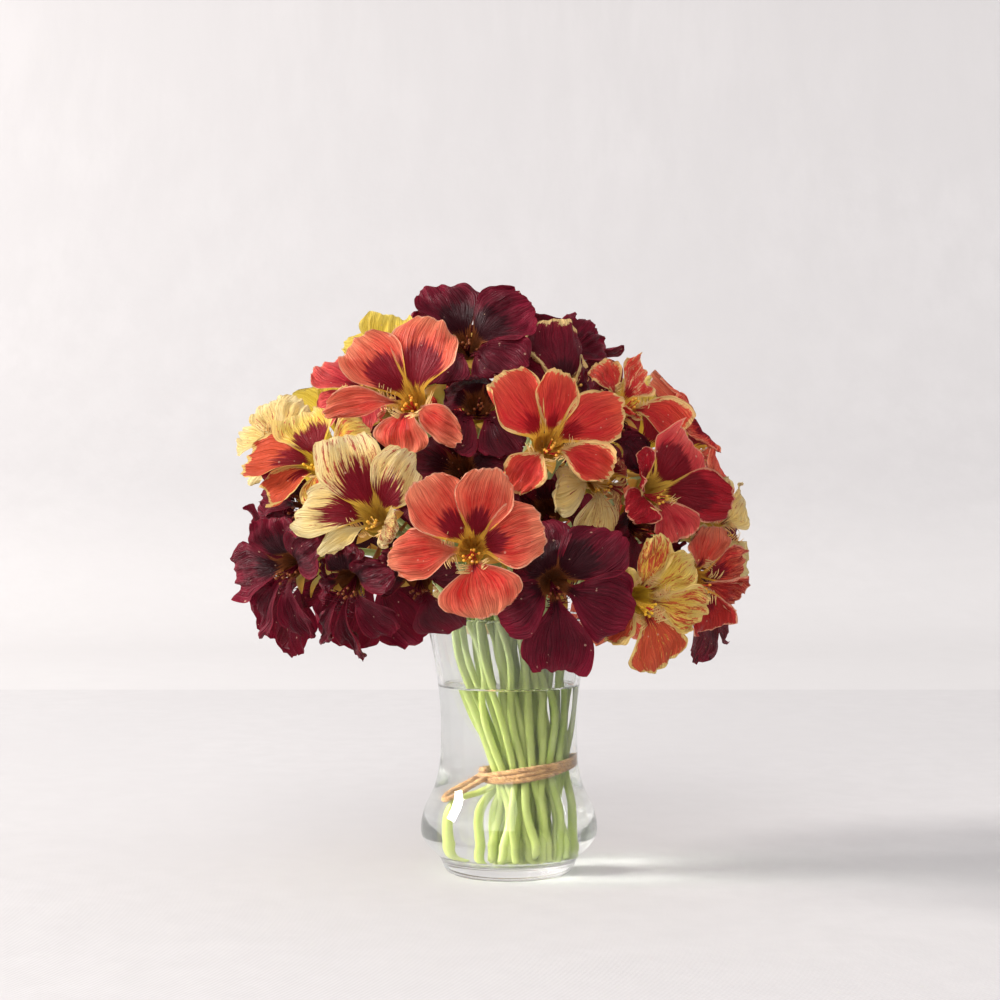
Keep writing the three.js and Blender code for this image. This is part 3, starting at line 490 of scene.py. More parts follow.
# The upper petals are broad from near the throat, and the lower ones stand on narrow claws. For each: where
# the rounded end starts, how round it is, the claw's width, between which places it widens, and how many
# degrees it laps over its neighbours.
BROAD = dict(start=0.46, roundness=0.5, claw=0.26, widens=(0, 0.48), lap=9)
NARROW = dict(start=0.58, roundness=0.74, claw=0.15, widens=(0.08, 0.52), lap=6)
GUIDE_OF_BROAD = 0.45
WIDEST_SECTOR = 64
NEXT_TO_FULL = 0.965  # how far along the spine the petal's tip lies
HAIR_BEND = 3  # a hair that a neighbour would bend further than this is left out
TURN = 6.28  # a full turn, for waves that start anywhere in it
FRINGE_START, FRINGE_LENGTH = 0.05, 0.2  # on the claw, as shares of the petal
SHORT_HAIR, LONG_HAIR, HAIR_SPREAD = 1.4, 3.0, 2.6  # the last is what a hair may be longer than that
HAIR_RADII = 0.27, 0.22, 0.08
STAMENS = 8
STAMEN_REACH, PISTIL_REACH = 9, 15
ANTHER, STIGMA = 0.5, 0.3  # the radii of a stamen's and the pistil's end


def spine_of(length, opening, curl):
    """The petal's middle line: distance out, height and slope at each step, from the throat's ring."""
    out, height, slope = [THROAT_RADIUS], [THROAT_HEIGHT], [CLAW_SLOPE]
    step = length / SPINE_STEPS
    for k in range(1, SPINE_STEPS + 1):
        t = (k - 0.5) / SPINE_STEPS
        lean = opening + (CLAW_SLOPE - opening) * (1 - smooth(t, 0, CLAW_END)) + curl * smooth(t, 0.5, 1)
        out.append(out[-1] + step * math.cos(lean))
        height.append(height[-1] + step * math.sin(lean))
        slope.append(lean)
    return np.array(out), np.array(height), np.array(slope)


def wave(seed, angle):
    """A sine with a start of its own for each seed."""
    return np.sin(angle + TURN * draw(seed))


def free_end(shape, grown, v, crumple, seed):
    """How far along the spine each point lies: the free end is a half disc with notches."""
    start = shape["start"]
    end = np.clip((grown - start) / (1 - start), 0, 1)
    bow = np.sqrt(1 - shape["roundness"] * v * v)
    middle = np.where(grown < start, grown, start + (NEXT_TO_FULL - start) * end * bow)
    notches = 0.014 * np.sin(5 * v + 9 * draw(seed + 2)) + 0.01 * np.sin(12 * v + 20 * draw(seed + 6))
    notches += 0.007 * np.sin(25 * v + 20 * draw(seed + 18)) * (0.5 + crumple)
    return end, np.clip(middle + grown ** 4 * notches, 0, 1)


def within_sector(bloom, k, shape, half, out, v, grown):
    """The petal's half width, kept inside the sector that its neighbours leave it."""
    angle, count = bloom.petals[k][0], len(bloom.petals)
    sectors = []
    for neighbour in ((k - 1) % count, (k + 1) % count):
        apart = abs((bloom.petals[neighbour][0] - angle + 180) % 360 - 180)
        sectors.append(math.tan(math.radians(min(apart / 2 + shape["lap"], WIDEST_SECTOR))))
    limit = np.maximum(0.5, out * np.where(v < 0, sectors[0], sectors[1]) - 1.5 * (1 - grown))
    return half * limit / (half ** 6 + limit ** 6) ** (1 / 6)


def lift_of(v, grown, width, crumple, seed):
    """How far the blade stands off its spine: cupped, ruffled, rolled at its edges, lapped over the next."""
    ruffle = 2.6 * grown ** 2 * wave(seed + 3, 3.1 * v) * np.abs(v)
    edge_wave = np.sin(7.3 * v + TURN * draw(seed + 4) + 2.5 * grown)
    ruffle += (1.2 + 2.3 * crumple) * grown ** 3 * edge_wave * v * v
    roll = 3.4 * (draw(seed + 14) - 0.35) * grown ** 2 * np.clip(v, 0, 1) ** 3
    roll += 3.4 * (draw(seed + 15) - 0.35) * grown ** 2 * np.clip(-v, 0, 1) ** 3
    overlap = (1.3 + 1.9 * draw(seed + 31)) * v * grown
    cup = (2.6 + 1.6 * draw(seed + 16)) * width * v * v * (1 - 0.5 * grown)
    return cup + ruffle + overlap - roll


def creased(points, v, grown, crumple, seed):
    """The blade with creases that run up it, and the crumpling of an old one."""
    normal = np.cross(np.gradient(points, axis=0), np.gradient(points, axis=1))
    normal /= np.maximum(np.linalg.norm(normal, axis=-1, keepdims=True), 1e-9)
    fan = v + 0.12 * wave(seed + 11, 4 * grown)
    crease = 0.34 * wave(seed + 8, 10 * fan) + 0.16 * wave(seed + 7, 21 * fan)
    crease += (0.25 + crumple * 0.85) * wave(seed + 9, 8 * v + 6 * grown) * wave(seed + 10, 7 * grown - 5 * v)
    crease += crumple * 0.3 * wave(seed + 17, 17 * v - 9 * grown) * np.sin(13 * grown + 4 * v)
    return points + normal * (crease * smooth(grown, 0.15, 0.6))[..., None]


def grow_petal(surface, bloom, k, rows, columns):
    """One petal, as a net of points: u runs from down in the throat to the free end, and v from side to side.
    Says if it is a broad one."""
    angle, stretch, opening, breadth, guide, flush, crumple = bloom.petals[k]
    seed = bloom.number * 31 + k * 5
    broad = guide > GUIDE_OF_BROAD
    shape = BROAD if broad else NARROW
    length = PETAL_LENGTH * stretch
    u, v = np.meshgrid(np.linspace(-CLAW_DEPTH, 1, rows), np.linspace(-1, 1, columns), indexing="ij")
    grown, deep = np.clip(u, 0, 1), np.clip(-u / CLAW_DEPTH, 0, 1)
    end, middle = free_end(shape, grown, v, crumple, seed)
    steps = np.linspace(0, 1, SPINE_STEPS + 1)
    spine = spine_of(length, math.radians(opening), math.radians(-38 + 40 * draw(seed + 1)))
    out, height, slope = (np.interp(middle, steps, line) for line in spine)
    out = out - deep * (THROAT_RADIUS - 1.4)
    height = height - deep * (THROAT_HEIGHT - THROAT_FOOT - 1)
    width = shape["claw"] + (1 - shape["claw"]) * smooth(u, *shape["widens"])
    width = width * np.sqrt(1 - 0.5 * end * end) * (1 - 0.3 * deep)
    half = within_sector(bloom, k, shape, PETAL_HALF_WIDTH * breadth * 1.12 * width, out, v, grown)
    lift = lift_of(v, grown, width, crumple, seed)
    points = bloom.at(angle, out - lift * np.sin(slope), v * half, height + lift * np.cos(slope))
    points = np.where((u > 0)[..., None], fit(points, bloom.planes), points)
    points = creased(points, v, grown, crumple, seed)
    rim = np.minimum((1 - np.abs(v)) * half, (1 - grown) * length * 0.8)
    surface.grid(points, across=v, along=middle - CLAW_DEPTH * deep, rim=rim, guide=guide, flush=flush,
                 pick=draw(seed + 12))
    return broad


def grow_fringe(surface, bloom, k, hairs):
    """The hairs along both sides of a lower petal's claw, shorter and darker on the dark kinds."""
    angle, stretch, opening = bloom.petals[k][:3]
    dark = bloom.kind.startswith("maroon")
    seed = bloom.number * 57 + k * 9
    outs, heights, _ = spine_of(PETAL_LENGTH * stretch, math.radians(opening), 0)
    steps = np.linspace(0, 1, SPINE_STEPS + 1)
    for side in (-1, 1):
        for hair in range(hairs):
            t = FRINGE_START + FRINGE_LENGTH * (hair + draw(seed + hair + side)) / hairs
            out, height = np.interp(t, steps, outs), np.interp(t, steps, heights)
            reach = (SHORT_HAIR if dark else LONG_HAIR) + HAIR_SPREAD * draw(seed + 3 * hair + side)
            lean = 0.6 + 0.7 * draw(seed + 5 * hair + 2 * side)
            across = side * np.array([1.2, 1.2 + 0.55 * lean * reach, 1.2 + 0.85 * lean * reach])
            up = height + reach * np.array([0, 0.45, 0.6])
            inward = out - reach * np.array([0, 0.1, 0.3]) * draw(seed + 7 * hair)
            path = bloom.at(angle, inward, across, up)
            if np.abs(fit(path, bloom.planes) - path).max() < HAIR_BEND:
                mark = 0.02 if dark else FRINGE_MARK
                surface.tube(path, HAIR_RADII, 3, along=mark, rim=FAR_FROM_RIM)


def grow_stamens(surface, bloom):
    """Eight stamens and a pistil, which lie low in the throat and turn up at their ends."""
    for stamen in range(STAMENS + 1):
        seed = bloom.number * 91 + stamen * 7
        pistil = stamen == STAMENS
        spread = 1.0 if pistil else 1.2 + 3.2 * draw(seed)
        turn = math.radians(200 + stamen * 20 + 30 * draw(seed + 1))
        reach = PISTIL_REACH if pistil else STAMEN_REACH + 6.5 * draw(seed + 2)
        t = np.linspace(0, 1, 9)
        bend = t ** 1.5 + 0.3 * np.sin(math.pi * t) * (draw(seed + 5) - 0.5)
        x = spread * np.cos(turn) * bend + 0.5 * np.sin(3 * t + seed) * t
        y = spread * np.sin(turn) * bend - 1.6 * np.sin(math.pi * 0.7 * t)
        height = THROAT_FOOT + 1.5 + reach * t * (1 - 0.12 * t)
        path = bloom.over(x, y, height)
        surface.tube(path, 0.27 - 0.1 * t, 5, along=0.02, rim=FAR_FROM_RIM)
        size = STIGMA if pistil else ANTHER
        bead = np.linspace(-1, 1, 6)
        lean = unit(path[-1] - path[-2] + 0.5 * (draw(seed + 3) - 0.5) * bloom.right)
        surface.tube(path[-1] + 1.3 * size * bead[:, None] * lean,
                     0.05 + size * np.sqrt(1 - 0.96 * bead ** 2), 6, along=-0.2, rim=FAR_FROM_RIM)


def grow_throat(surface, bloom):
    """The funnel that the claws stand in."""
    turn, down = np.meshgrid(np.radians(np.linspace(0, 360, 31)), np.linspace(0, 1, 7), indexing="ij")
    out = THROAT_RADIUS + 0.3 - (THROAT_RADIUS + 0.1) * down ** 1.6
    height = THROAT_HEIGHT - 0.3 - (THROAT_HEIGHT - THROAT_FOOT - 1) * down
    x, y = out * np.cos(turn), out * np.sin(turn)
    surface.grid(bloom.over(x, y, height), across=np.sin(2.5 * turn), along=0.04 - 0.34 * down,
                 rim=FAR_FROM_RIM, pick=draw(bloom.number * 29))


def grow_bloom(bloom, material):
    """One bloom with its throat, petals, fringes and stamens, as one piece."""
    surface = Surface()
    grow_throat(surface, bloom)
    rows, columns, hairs = FINE_NET if bloom.number <= FINE_BLOOMS else USUAL_NET
    for k in range(len(bloom.petals)):
        if not grow_petal(surface, bloom, k, rows, columns):
            grow_fringe(surface, bloom, k, hairs)
    grow_stamens(surface, bloom)
    name = f"bloom_{bloom.number:02d}_{bloom.kind}"
    surface.piece(name + "_looks", material, "petals_" + bloom.kind, [name])


# ---- stems, calyces and spurs ----
CALYX_THROAT = 1.35  # the calyx's radius at its foot
SEPAL = dict(from_axis=2.6, length=7.2, width=2.4)
STRAY_RADII = 0.85, 1.15  # the stray stem's, at its start and end, as shares of the others'
SWAY = dict(foot=5, leg=-6, tie=0.8, waist=5.5)  # how far a stem wanders at these places


def grow_stems(blooms, stem_finish, calyx_finish):
    """Every bloom's stem, calyx, spur and sepals, and the stray stem that hooks over."""
    stems, calyces = Surface(), Surface()
    for bloom in blooms:
        tone = draw(bloom.number * 19)
        grow_stem(stems, bloom, tone)
        grow_calyx(calyces, bloom, tone)
    stray = curve_through(STRAY_STEM, 8)
    t = np.linspace(0, 1, len(stray))
    thin, thick = STRAY_RADII
    stems.tube(stray, STEM_RADIUS * (thin + (thick - thin) * smooth(t, 0.3, 0.8)), 12, along=1.4, across=1.0,
               pick=1.0)
    stems.piece("stems_looks", stem_finish, "stems", ["stems"])
    calyces.piece("calyces_looks", calyx_finish, "stems", ["stems"])


def grow_stem(surface, bloom, tone):
    """One stem, which wanders a little at its foot and between the tie and the rim."""
    foot, tied, mouth, *neck = stem_path(bloom, (0, 0.2, 0.4, 0.6, 0.8, 1))
    seed = bloom.number * 23
    sway = np.array([[draw(seed + 3 * k + axis) - 0.5 for axis in range(2)] + [0] for k in range(4)])
    foot = foot + SWAY["foot"] * sway[0]
    legs = [foot + 0.4 * (tied - foot) + SWAY["leg"] * sway[3], tied + SWAY["tie"] * sway[3]]
    waist = [tied + share * (mouth - tied) + SWAY["waist"] * sway[k] for k, share in ((1, 0.35), (2, 0.7))]
    line = curve_through([foot, *legs, *waist, mouth, *neck], 6)
    height = np.linspace(0, 1, len(line))
    thick = STEM_RADIUS * (0.74 + 0.22 * draw(bloom.number * 43))
    radii = thick * (0.96 + 0.06 * np.sin(9 * height + bloom.number)) * (1 - 0.08 * height)
    surface.tube(line, radii, 10, along=height, across=tone, pick=tone)


def grow_calyx(surface, bloom, tone):
    """The cup behind a bloom, its curved spur and its five sepals."""
    t = np.linspace(0, 1, 8)
    start = CALYX_FOOT - 0.2
    cup = bloom.centre + (start + (-start + THROAT_FOOT - GAP) * t)[:, None] * bloom.axis
    radii = CALYX_THROAT + (CALYX_RADIUS - CALYX_THROAT) * smooth(t, 0.15, 0.95)
    surface.tube(cup, radii, 12, along=0.6 * t, pick=tone)
    reach = np.linspace(0, 1, 10)
    bend = SPUR["rise"] * reach ** 1.6 - 2.2 * np.sin(math.pi * reach)
    back = SPUR["root"] - SPUR["length"] * reach
    spur = bloom.centre + back[:, None] * bloom.axis + bend[:, None] * bloom.up
    radii = SPUR["radius"] - SPUR["taper"] * reach ** 0.8
    surface.tube(spur, radii, 8, along=reach, flush=reach, pick=tone)
    for k in range(5):
        grow_sepal(surface, bloom, bloom.petals[0][0] + 36 + 72 * k, tone)


def grow_sepal(surface, bloom, angle, tone):
    """One pale pointed leaf of the calyx, behind the gap between two petals."""
    seed = bloom.number * 37 + angle
    u, v = np.meshgrid(np.linspace(0, 1, 9), np.linspace(-1, 1, 5), indexing="ij")
    width = SEPAL["width"] * np.sin(math.pi * np.clip(0.22 + 0.78 * u, 0, 1)) ** 0.8 + 0.05
    out = SEPAL["from_axis"] + SEPAL["length"] * u * (0.75 + 0.25 * u) + 0.9 * u ** 2
    height = THROAT_FOOT - 0.4 + 7.6 * u ** 0.8 - 2.4 * u ** 3 - 0.5 * v * v
    points = bloom.at(angle + 6 * (draw(seed) - 0.5), out, v * width, height)
    points = np.where((u > 0.3)[..., None], fit(points, bloom.planes), points)
    surface.grid(points, across=v, along=u, rim=(1 - np.abs(v)) * width, pick=tone)


# ---- twine ----
STRANDS = 3
STRAND_RADIUS, STRAND_OUT = 0.56, 0.48  # a strand's radius and distance out, as shares of the rope's radius
ROPE_PITCH, LOOP_PITCH = 5.2, 5  # the length in which a strand goes round once
FUZZ_RADII = 0.07, 0.06, 0.03
FUZZ_PER_MM = 1.6
TURNS, TURN_STEPS = 3, 90
BAND_START = math.radians(200)
BAND_RISE = 2.2  # of the last turn over the tie's middle, and of the first turn below it


def twist(surface, path, radius, pitch, seed):
    """A rope of twisted strands along a path, with short fibres that stand off it."""
    path = np.asarray(path, float)
    lengths = np.concatenate([[0], np.cumsum(np.linalg.norm(np.diff(path, axis=0), axis=1))])
    steps = int(lengths[-1] / pitch * 12)
    at = np.linspace(0, lengths[-1], steps)
    line = np.stack([np.interp(at, lengths, path[:, axis]) for axis in range(3)], axis=1)
    tangents = np.gradient(line, axis=0)
    tangents /= np.linalg.norm(tangents, axis=1, keepdims=True)
    side = np.cross(tangents, (0, 0, 1))
    side /= np.maximum(np.linalg.norm(side, axis=1, keepdims=True), 1e-6)
    other = np.cross(tangents, side)
    for strand in range(STRANDS):
        turn = 2 * math.pi * (at / pitch + strand / STRANDS)
        offset = radius * STRAND_OUT * (np.cos(turn)[:, None] * side + np.sin(turn)[:, None] * other)
        swell = 1 + 0.1 * np.sin(at * 1.3 + strand * 2 + seed)
        surface.tube(line + offset, radius * STRAND_RADIUS * swell, 7, along=at / pitch + strand / STRANDS,
                     across=strand / STRANDS, pick=draw(seed + strand))
    for fibre in range(int(lengths[-1] * FUZZ_PER_MM)):
        k = int(draw(seed + fibre * 3 + 1) * (steps - 2))
        turn = 2 * math.pi * draw(seed + fibre * 5 + 2)
        out = math.cos(turn) * side[k] + math.sin(turn) * other[k]
        lean = (draw(seed + fibre * 7) - 0.5) * 3 * tangents[k]
        reach = 0.5 + 1.1 * draw(seed + fibre * 11)
        start = line[k] + radius * 0.9 * out
        middle = start + 0.35 * reach * out + 0.5 * reach * lean
        tip = middle + 0.3 * reach * out + 0.6 * reach * lean + np.array([0, 0, 0.2 * reach])
        surface.tube([start, middle, tip], FUZZ_RADII, 3, along=fibre, pick=draw(fibre))


def wind_twine(finish):
    """Three turns of twine round the bunch, and its slack loop."""
    surface = Surface()
    t = np.linspace(0, 1, TURNS * TURN_STEPS)
    turn = BAND_START + 2 * math.pi * TURNS * t
    clear = STEM_RADIUS + GAP + ROPE_RADIUS
    x = (TIE["radius_x"] + clear + 0.25 * np.sin(1.7 * turn)) * np.cos(turn)
    y = (TIE["radius_y"] + clear + 0.25 * np.cos(1.3 * turn)) * np.sin(turn)
    up = -BAND_RISE + 2 * BAND_RISE * t + 0.35 * np.sin(2.3 * turn)
    path = np.stack([TIE["x"] + x, TIE["y"] + y, TIE["z"] + x * TIE["slope"] + up], axis=1)
    twist(surface, path, ROPE_RADIUS, ROPE_PITCH, 11)
    twist(surface, curve_through(TWINE_LOOP, 10), 0.95 * ROPE_RADIUS, LOOP_PITCH, 29)
    surface.piece("twine_looks", finish, "twine", ["twine"])


# ---- glass and water ----
def spin(name, profile, materials, second):
    """A closed surface of revolution. Its bands in the second range get the second material: band -1 is the
    middle of its bottom, and the last one the middle of its top."""
    ring = [(r, z) for r, z in profile if r > 0]
    turns = np.arange(ROUND_SIDES) * 2 * math.pi / ROUND_SIDES
    points = [(r * math.cos(a), r * math.sin(a), z) for r, z in ring for a in turns]
    bottom, top, last = len(points), len(points) + 1, len(points) - ROUND_SIDES
    points += [(0, 0, profile[0][1]), (0, 0, profile[-1][1])]
    around = [(s, (s + 1) % ROUND_SIDES) for s in range(ROUND_SIDES)]
    faces = net(len(ring), ROUND_SIDES, closed=True)
    faces += [(bottom, b, a) for a, b in around] + [(top, last + a, last + b) for a, b in around]
    surface = Surface()
    surface.add(points, faces)
    piece = surface.piece(name + "_looks", materials[0], name, [name])
    piece.data.materials.append(materials[1])
    bands = np.repeat([*range(len(ring) - 1), -1, len(ring)], ROUND_SIDES)
    piece.data.polygons.foreach_set("material_index", [int(band in second) for band in bands])


def rounded(profile, steps=4):
    """A profile with a smooth curve through its points."""
    points = curve_through([np.array([r, z, 0.0]) for r, z in profile], steps)
    return [(max(p[0], 0.0) if p[0] > 0.01 else 0.0, p[1]) for p in points]


def wall_at(inside, level):
    """The glass's inner radius at a height, from its profile, which runs downwards."""
    return float(np.interp(-level, [-z for r, z in inside], [r for r, z in inside]))


def blow_glass(finishes):
    """Under the water's edge the inner wall has the second finish, that of glass against water."""
    outside, inside = rounded(GLASS_OUTSIDE), rounded(GLASS_INSIDE)
    edge = WATER_LEVEL + MENISCUS
    dry = [p for p in inside if p[1] > edge + 0.3] + [(wall_at(inside, edge), edge)]
    wet = [p for p in inside if p[1] < edge - 0.3]
    first_wet = len([p for p in outside + dry if p[0] > 0]) - 1
    spin("glass", outside + dry + wet, finishes, range(first_wet, len(outside + dry + wet)))


def pour_water(finishes):
    """The water's sides, which lie just inside the wall, have the second finish and bend no light."""
    inside = rounded(GLASS_INSIDE)
    edge = WATER_LEVEL + MENISCUS
    sides = [p for p in inside if p[1] < edge - 0.8][::-1]
    profile = [(max(r - WATER_ROOM, 0.0), z + WATER_ROOM) for r, z in sides]
    wall = wall_at(inside, edge)
    profile += [(wall - WATER_ROOM, edge - 0.35), (wall + 0.01, edge)]
    side_rings = len([p for p in profile if p[0] > 0]) - 1
    profile += [(wall - 0.3, WATER_LEVEL + 0.4), (wall - 0.9, WATER_LEVEL + 0.14),
                (wall - 2, WATER_LEVEL + 0.02), (wall * 0.6, WATER_LEVEL), (0, WATER_LEVEL)]
    spin("water", profile, finishes, range(-1, side_rings))


# ---- node groups and finishes ----
PICK_SHIFT = 40.0  # between the patterns of the lowest and the highest pick


class Nodes:
    """Adds nodes to one tree and joins them."""

    def __init__(self, tree):
        self.tree = tree

    def add(self, kind, inputs=(), **settings):
        node = self.tree.nodes.new(kind)
        for name, value in settings.items():
            setattr(node, name, value)
        for key, value in dict(inputs).items():
            self.join(value, node.inputs[key])
        return node

    def join(self, value, socket):
        """Links a socket to another, or gives it a number or a colour."""
        if isinstance(value, bpy.types.NodeSocket):
            self.tree.links.new(value, socket)
        elif isinstance(value, tuple) and len(value) == 3 and socket.type == "RGBA":
            socket.default_value = (*value, 1.0)
        else:
            socket.default_value = value

    def math(self, operation, a, b=0.5, clamp=False):
        return self.add("ShaderNodeMath", {0: a, 1: b}, operation=operation, use_clamp=clamp).outputs[0]

    def plus(self, a, b, clamp=False):
        return self.math("ADD", a, b, clamp)

    def minus(self, a, b):
        return self.math("SUBTRACT", a, b)

    def times(self, a, b):
        return self.math("MULTIPLY", a, b)

    def ramp(self, value, low, high, to_low=0.0, to_high=1.0):
        """A smooth rise of a value between two of its own."""
        ends = {"Value": value, "From Min": low, "From Max": high, "To Min": to_low, "To Max": to_high}
        return self.add("ShaderNodeMapRange", ends, interpolation_type="SMOOTHSTEP").outputs["Result"]

    def mix(self, share, a, b):
        """A mix of two colours."""
        node = self.add("ShaderNodeMix", data_type="RGBA", blend_type="MIX")
        for value, socket in zip((share, a, b), (node.inputs[0], node.inputs[6], node.inputs[7])):
            self.join(value, socket)
        return node.outputs[2]

    def noise(self, vector, scale, detail=2.0, roughness=0.5):
        inputs = {"Vector": vector, "Scale": scale, "Detail": detail, "Roughness": roughness}
        return self.add("ShaderNodeTexNoise", inputs).outputs["Fac"]

    def vector(self, x, y, z):
        return self.add("ShaderNodeCombineXYZ", {0: x, 1: y, 2: z}).outputs[0]

    def parts(self, vector):
        return self.add("ShaderNodeSeparateXYZ", {0: vector}).outputs

    def place(self):
        """The place on the object, in metres."""
        return self.add("ShaderNodeTexCoord").outputs["Object"]

    def leaf_place(self):
        """The place on a petal or sepal: from side to side, and from its claw to its free end."""
        parts = self.parts(self.add("ShaderNodeUVMap", uv_map="petal").outputs[0])
        return parts[0], parts[1]

    def attribute(self, name):
        return self.add("ShaderNodeAttribute", attribute_name=name, attribute_type="GEOMETRY").outputs["Fac"]

    def bump(self, height, strength, depth):
        """The normal of a surface with a relief of the given depth, in metres."""
        inputs = {"Height": height, "Strength": strength, "Distance": depth}
        return self.add("ShaderNodeBump", inputs).outputs[0]

    def blend(self, share, shader, other):
        return self.add("ShaderNodeMixShader", {0: share, 1: shader.outputs[0], 2: other.outputs[0]})

    def put_out(self, shader):
        self.add("ShaderNodeOutputMaterial", {0: shader.outputs[0]})

    def group(self, tree, **inputs):
        node = self.add("ShaderNodeGroup", node_tree=tree)
        for name, value in inputs.items():
            self.join(value, node.inputs[name.replace("_", " ").capitalize()])
        return node.outputs


def new_group(name, inputs, outputs):
    """A shader node group with number sockets, and its input and output nodes' sockets by name."""
    tree = bpy.data.node_groups.new(name, "ShaderNodeTree")
    for way, sockets in (("INPUT", inputs), ("OUTPUT", outputs)):
        for socket in sockets:
            tree.interface.new_socket(name=socket, in_out=way, socket_type="NodeSocketFloat")
    nodes = Nodes(tree)
    given = nodes.add("NodeGroupInput").outputs
    result = nodes.add("NodeGroupOutput").inputs
    return tree, nodes, given, result


def petal_noise(n, given, across, along, scale, detail, roughness):
    """Noise over a petal, drawn out by its two shares, with a pattern of its own for each pick."""
    side, up = n.times(given["Across"], across), n.times(given["Along"], along)
    return n.noise(n.vector(side, up, n.times(given["Pick"], PICK_SHIFT)), scale, detail, roughness)


def veins_group():
    """Fine veins that fan out from the claw and fork half way up the petal, and broader ribs along them."""
    tree, n, given, result = new_group("Petal veins", ["Across", "Along", "Count", "Pick"], ["Lines", "Ribs"])
    sway = petal_noise(n, given, 2.0, 2.4, 1.2, 2.0, 0.5)
    path = n.plus(n.times(given["Across"], given["Count"]), n.times(sway, 1.6))
    main = n.ramp(n.math("PINGPONG", path, 0.5), 0.42, 0.5)
    forked = n.ramp(n.math("PINGPONG", n.times(path, 2.3), 0.5), 0.3, 0.5)
    forked = n.times(forked, n.ramp(given["Along"], 0.3, 0.62, 0.0, 0.75))
    lines = n.math("MAXIMUM", main, forked)
    n.join(n.times(lines, n.ramp(given["Along"], 0.02, 0.2)), result["Lines"])
    spread = n.vector(n.times(path, 1.9), n.times(given["Along"], 1.6), n.times(given["Pick"], PICK_SHIFT))
    n.join(n.ramp(n.noise(spread, 1.0, 3.0, 0.6), 0.25, 0.75), result["Ribs"])
    return tree


def guide_group():
    """The dark guide mark of an upper petal, with an edge that runs out in streaks."""
    tree, n, given, result = new_group("Guide mark", ["Across", "Along", "Reach", "Streak", "Pick"], ["Mark"])
    streaks = petal_noise(n, given, 9.0, 1.2, 1.5, 4.0, 0.65)
    centred = n.times(n.minus(streaks, 0.5), given["Streak"])
    bow = n.times(n.math("POWER", n.math("ABSOLUTE", given["Across"]), 2.0), 0.42)
    edge = n.plus(n.minus(given["Reach"], bow), centred)
    n.join(n.ramp(n.minus(edge, given["Along"]), -0.05, 0.07), result["Mark"])
    return tree


def margin_group():
    """A pale, ragged margin along the petal's free edge."""
    tree, n, given, result = new_group("Pale margin", ["Across", "Along", "Rim", "Width", "Pick"], ["Mark"])
    ragged = petal_noise(n, given, 5.0, 5.0, 1.6, 5.0, 0.7)
    width = n.times(given["Width"], n.ramp(ragged, 0.25, 0.75, 0.2, 2.2))
    share = n.math("DIVIDE", given["Rim"], n.math("MAXIMUM", width, 0.01))
    n.join(n.ramp(share, 1.15, 0.75), result["Mark"])
    return tree


def splash_group():
    """Splashes and flecks drawn out along the veins."""
    tree, n, given, result = new_group("Splashes", ["Across", "Along", "Amount", "Pick"], ["Mark"])
    long = petal_noise(n, given, 7.0, 2.0, 1.5, 6.0, 0.72)
    small = petal_noise(n, given, 16.0, 12.0, 1.4, 3.0, 0.6)
    level = n.plus(n.times(long, 0.75), n.times(small, 0.25))
    start = n.minus(0.78, n.times(given["Amount"], 0.5))
    n.join(n.ramp(n.minus(level, start), -0.03, 0.06), result["Mark"])
    return tree


def pollen_group():
    """Small pale grains of pollen, scattered over a petal."""
    tree, n, given, result = new_group("Pollen", ["Scale", "Size", "Share"], ["Mark"])
    cells = n.add("ShaderNodeTexVoronoi", {"Vector": n.place(), "Scale": given["Scale"]}).outputs
    chosen = n.add("ShaderNodeSeparateColor", {0: cells["Color"]}).outputs
    near = n.math("LESS_THAN", cells["Distance"], n.times(given["Size"], chosen[1]))
    n.join(n.times(near, n.math("LESS_THAN", chosen[0], given["Share"])), result["Mark"])
    return tree


def mottle_group():
    """Soft light and dark patches, and fine grain, from the place on the object."""
    tree, n, given, result = new_group("Mottling", ["Scale", "Pick"], ["Patches", "Grain"])
    shift = n.vector(given["Pick"], given["Pick"], given["Pick"])
    moved = n.add("ShaderNodeVectorMath", {0: n.place(), 1: shift}, operation="ADD").outputs[0]
    patches = n.noise(moved, given["Scale"], 3.0, 0.6)
    n.join(n.ramp(patches, 0.3, 0.7), result["Patches"])
    n.join(n.noise(moved, n.times(given["Scale"], 14.0), 2.0, 0.6), result["Grain"])
    return tree


def new_finish(name):
    """A material without nodes, and what adds them."""
    material = bpy.data.materials.new(name)
    material.use_nodes = True
    material.node_tree.nodes.clear()
    return material, Nodes(material.node_tree)


def thin_leaf(n, through, face, back):
    """A leaf's face, and the share of light that comes through from its back."""
    face = n.add("ShaderNodeBsdfPrincipled", face)
    back = n.add("ShaderNodeBsdfTranslucent", back)
    n.put_out(n.blend(through, face, back))


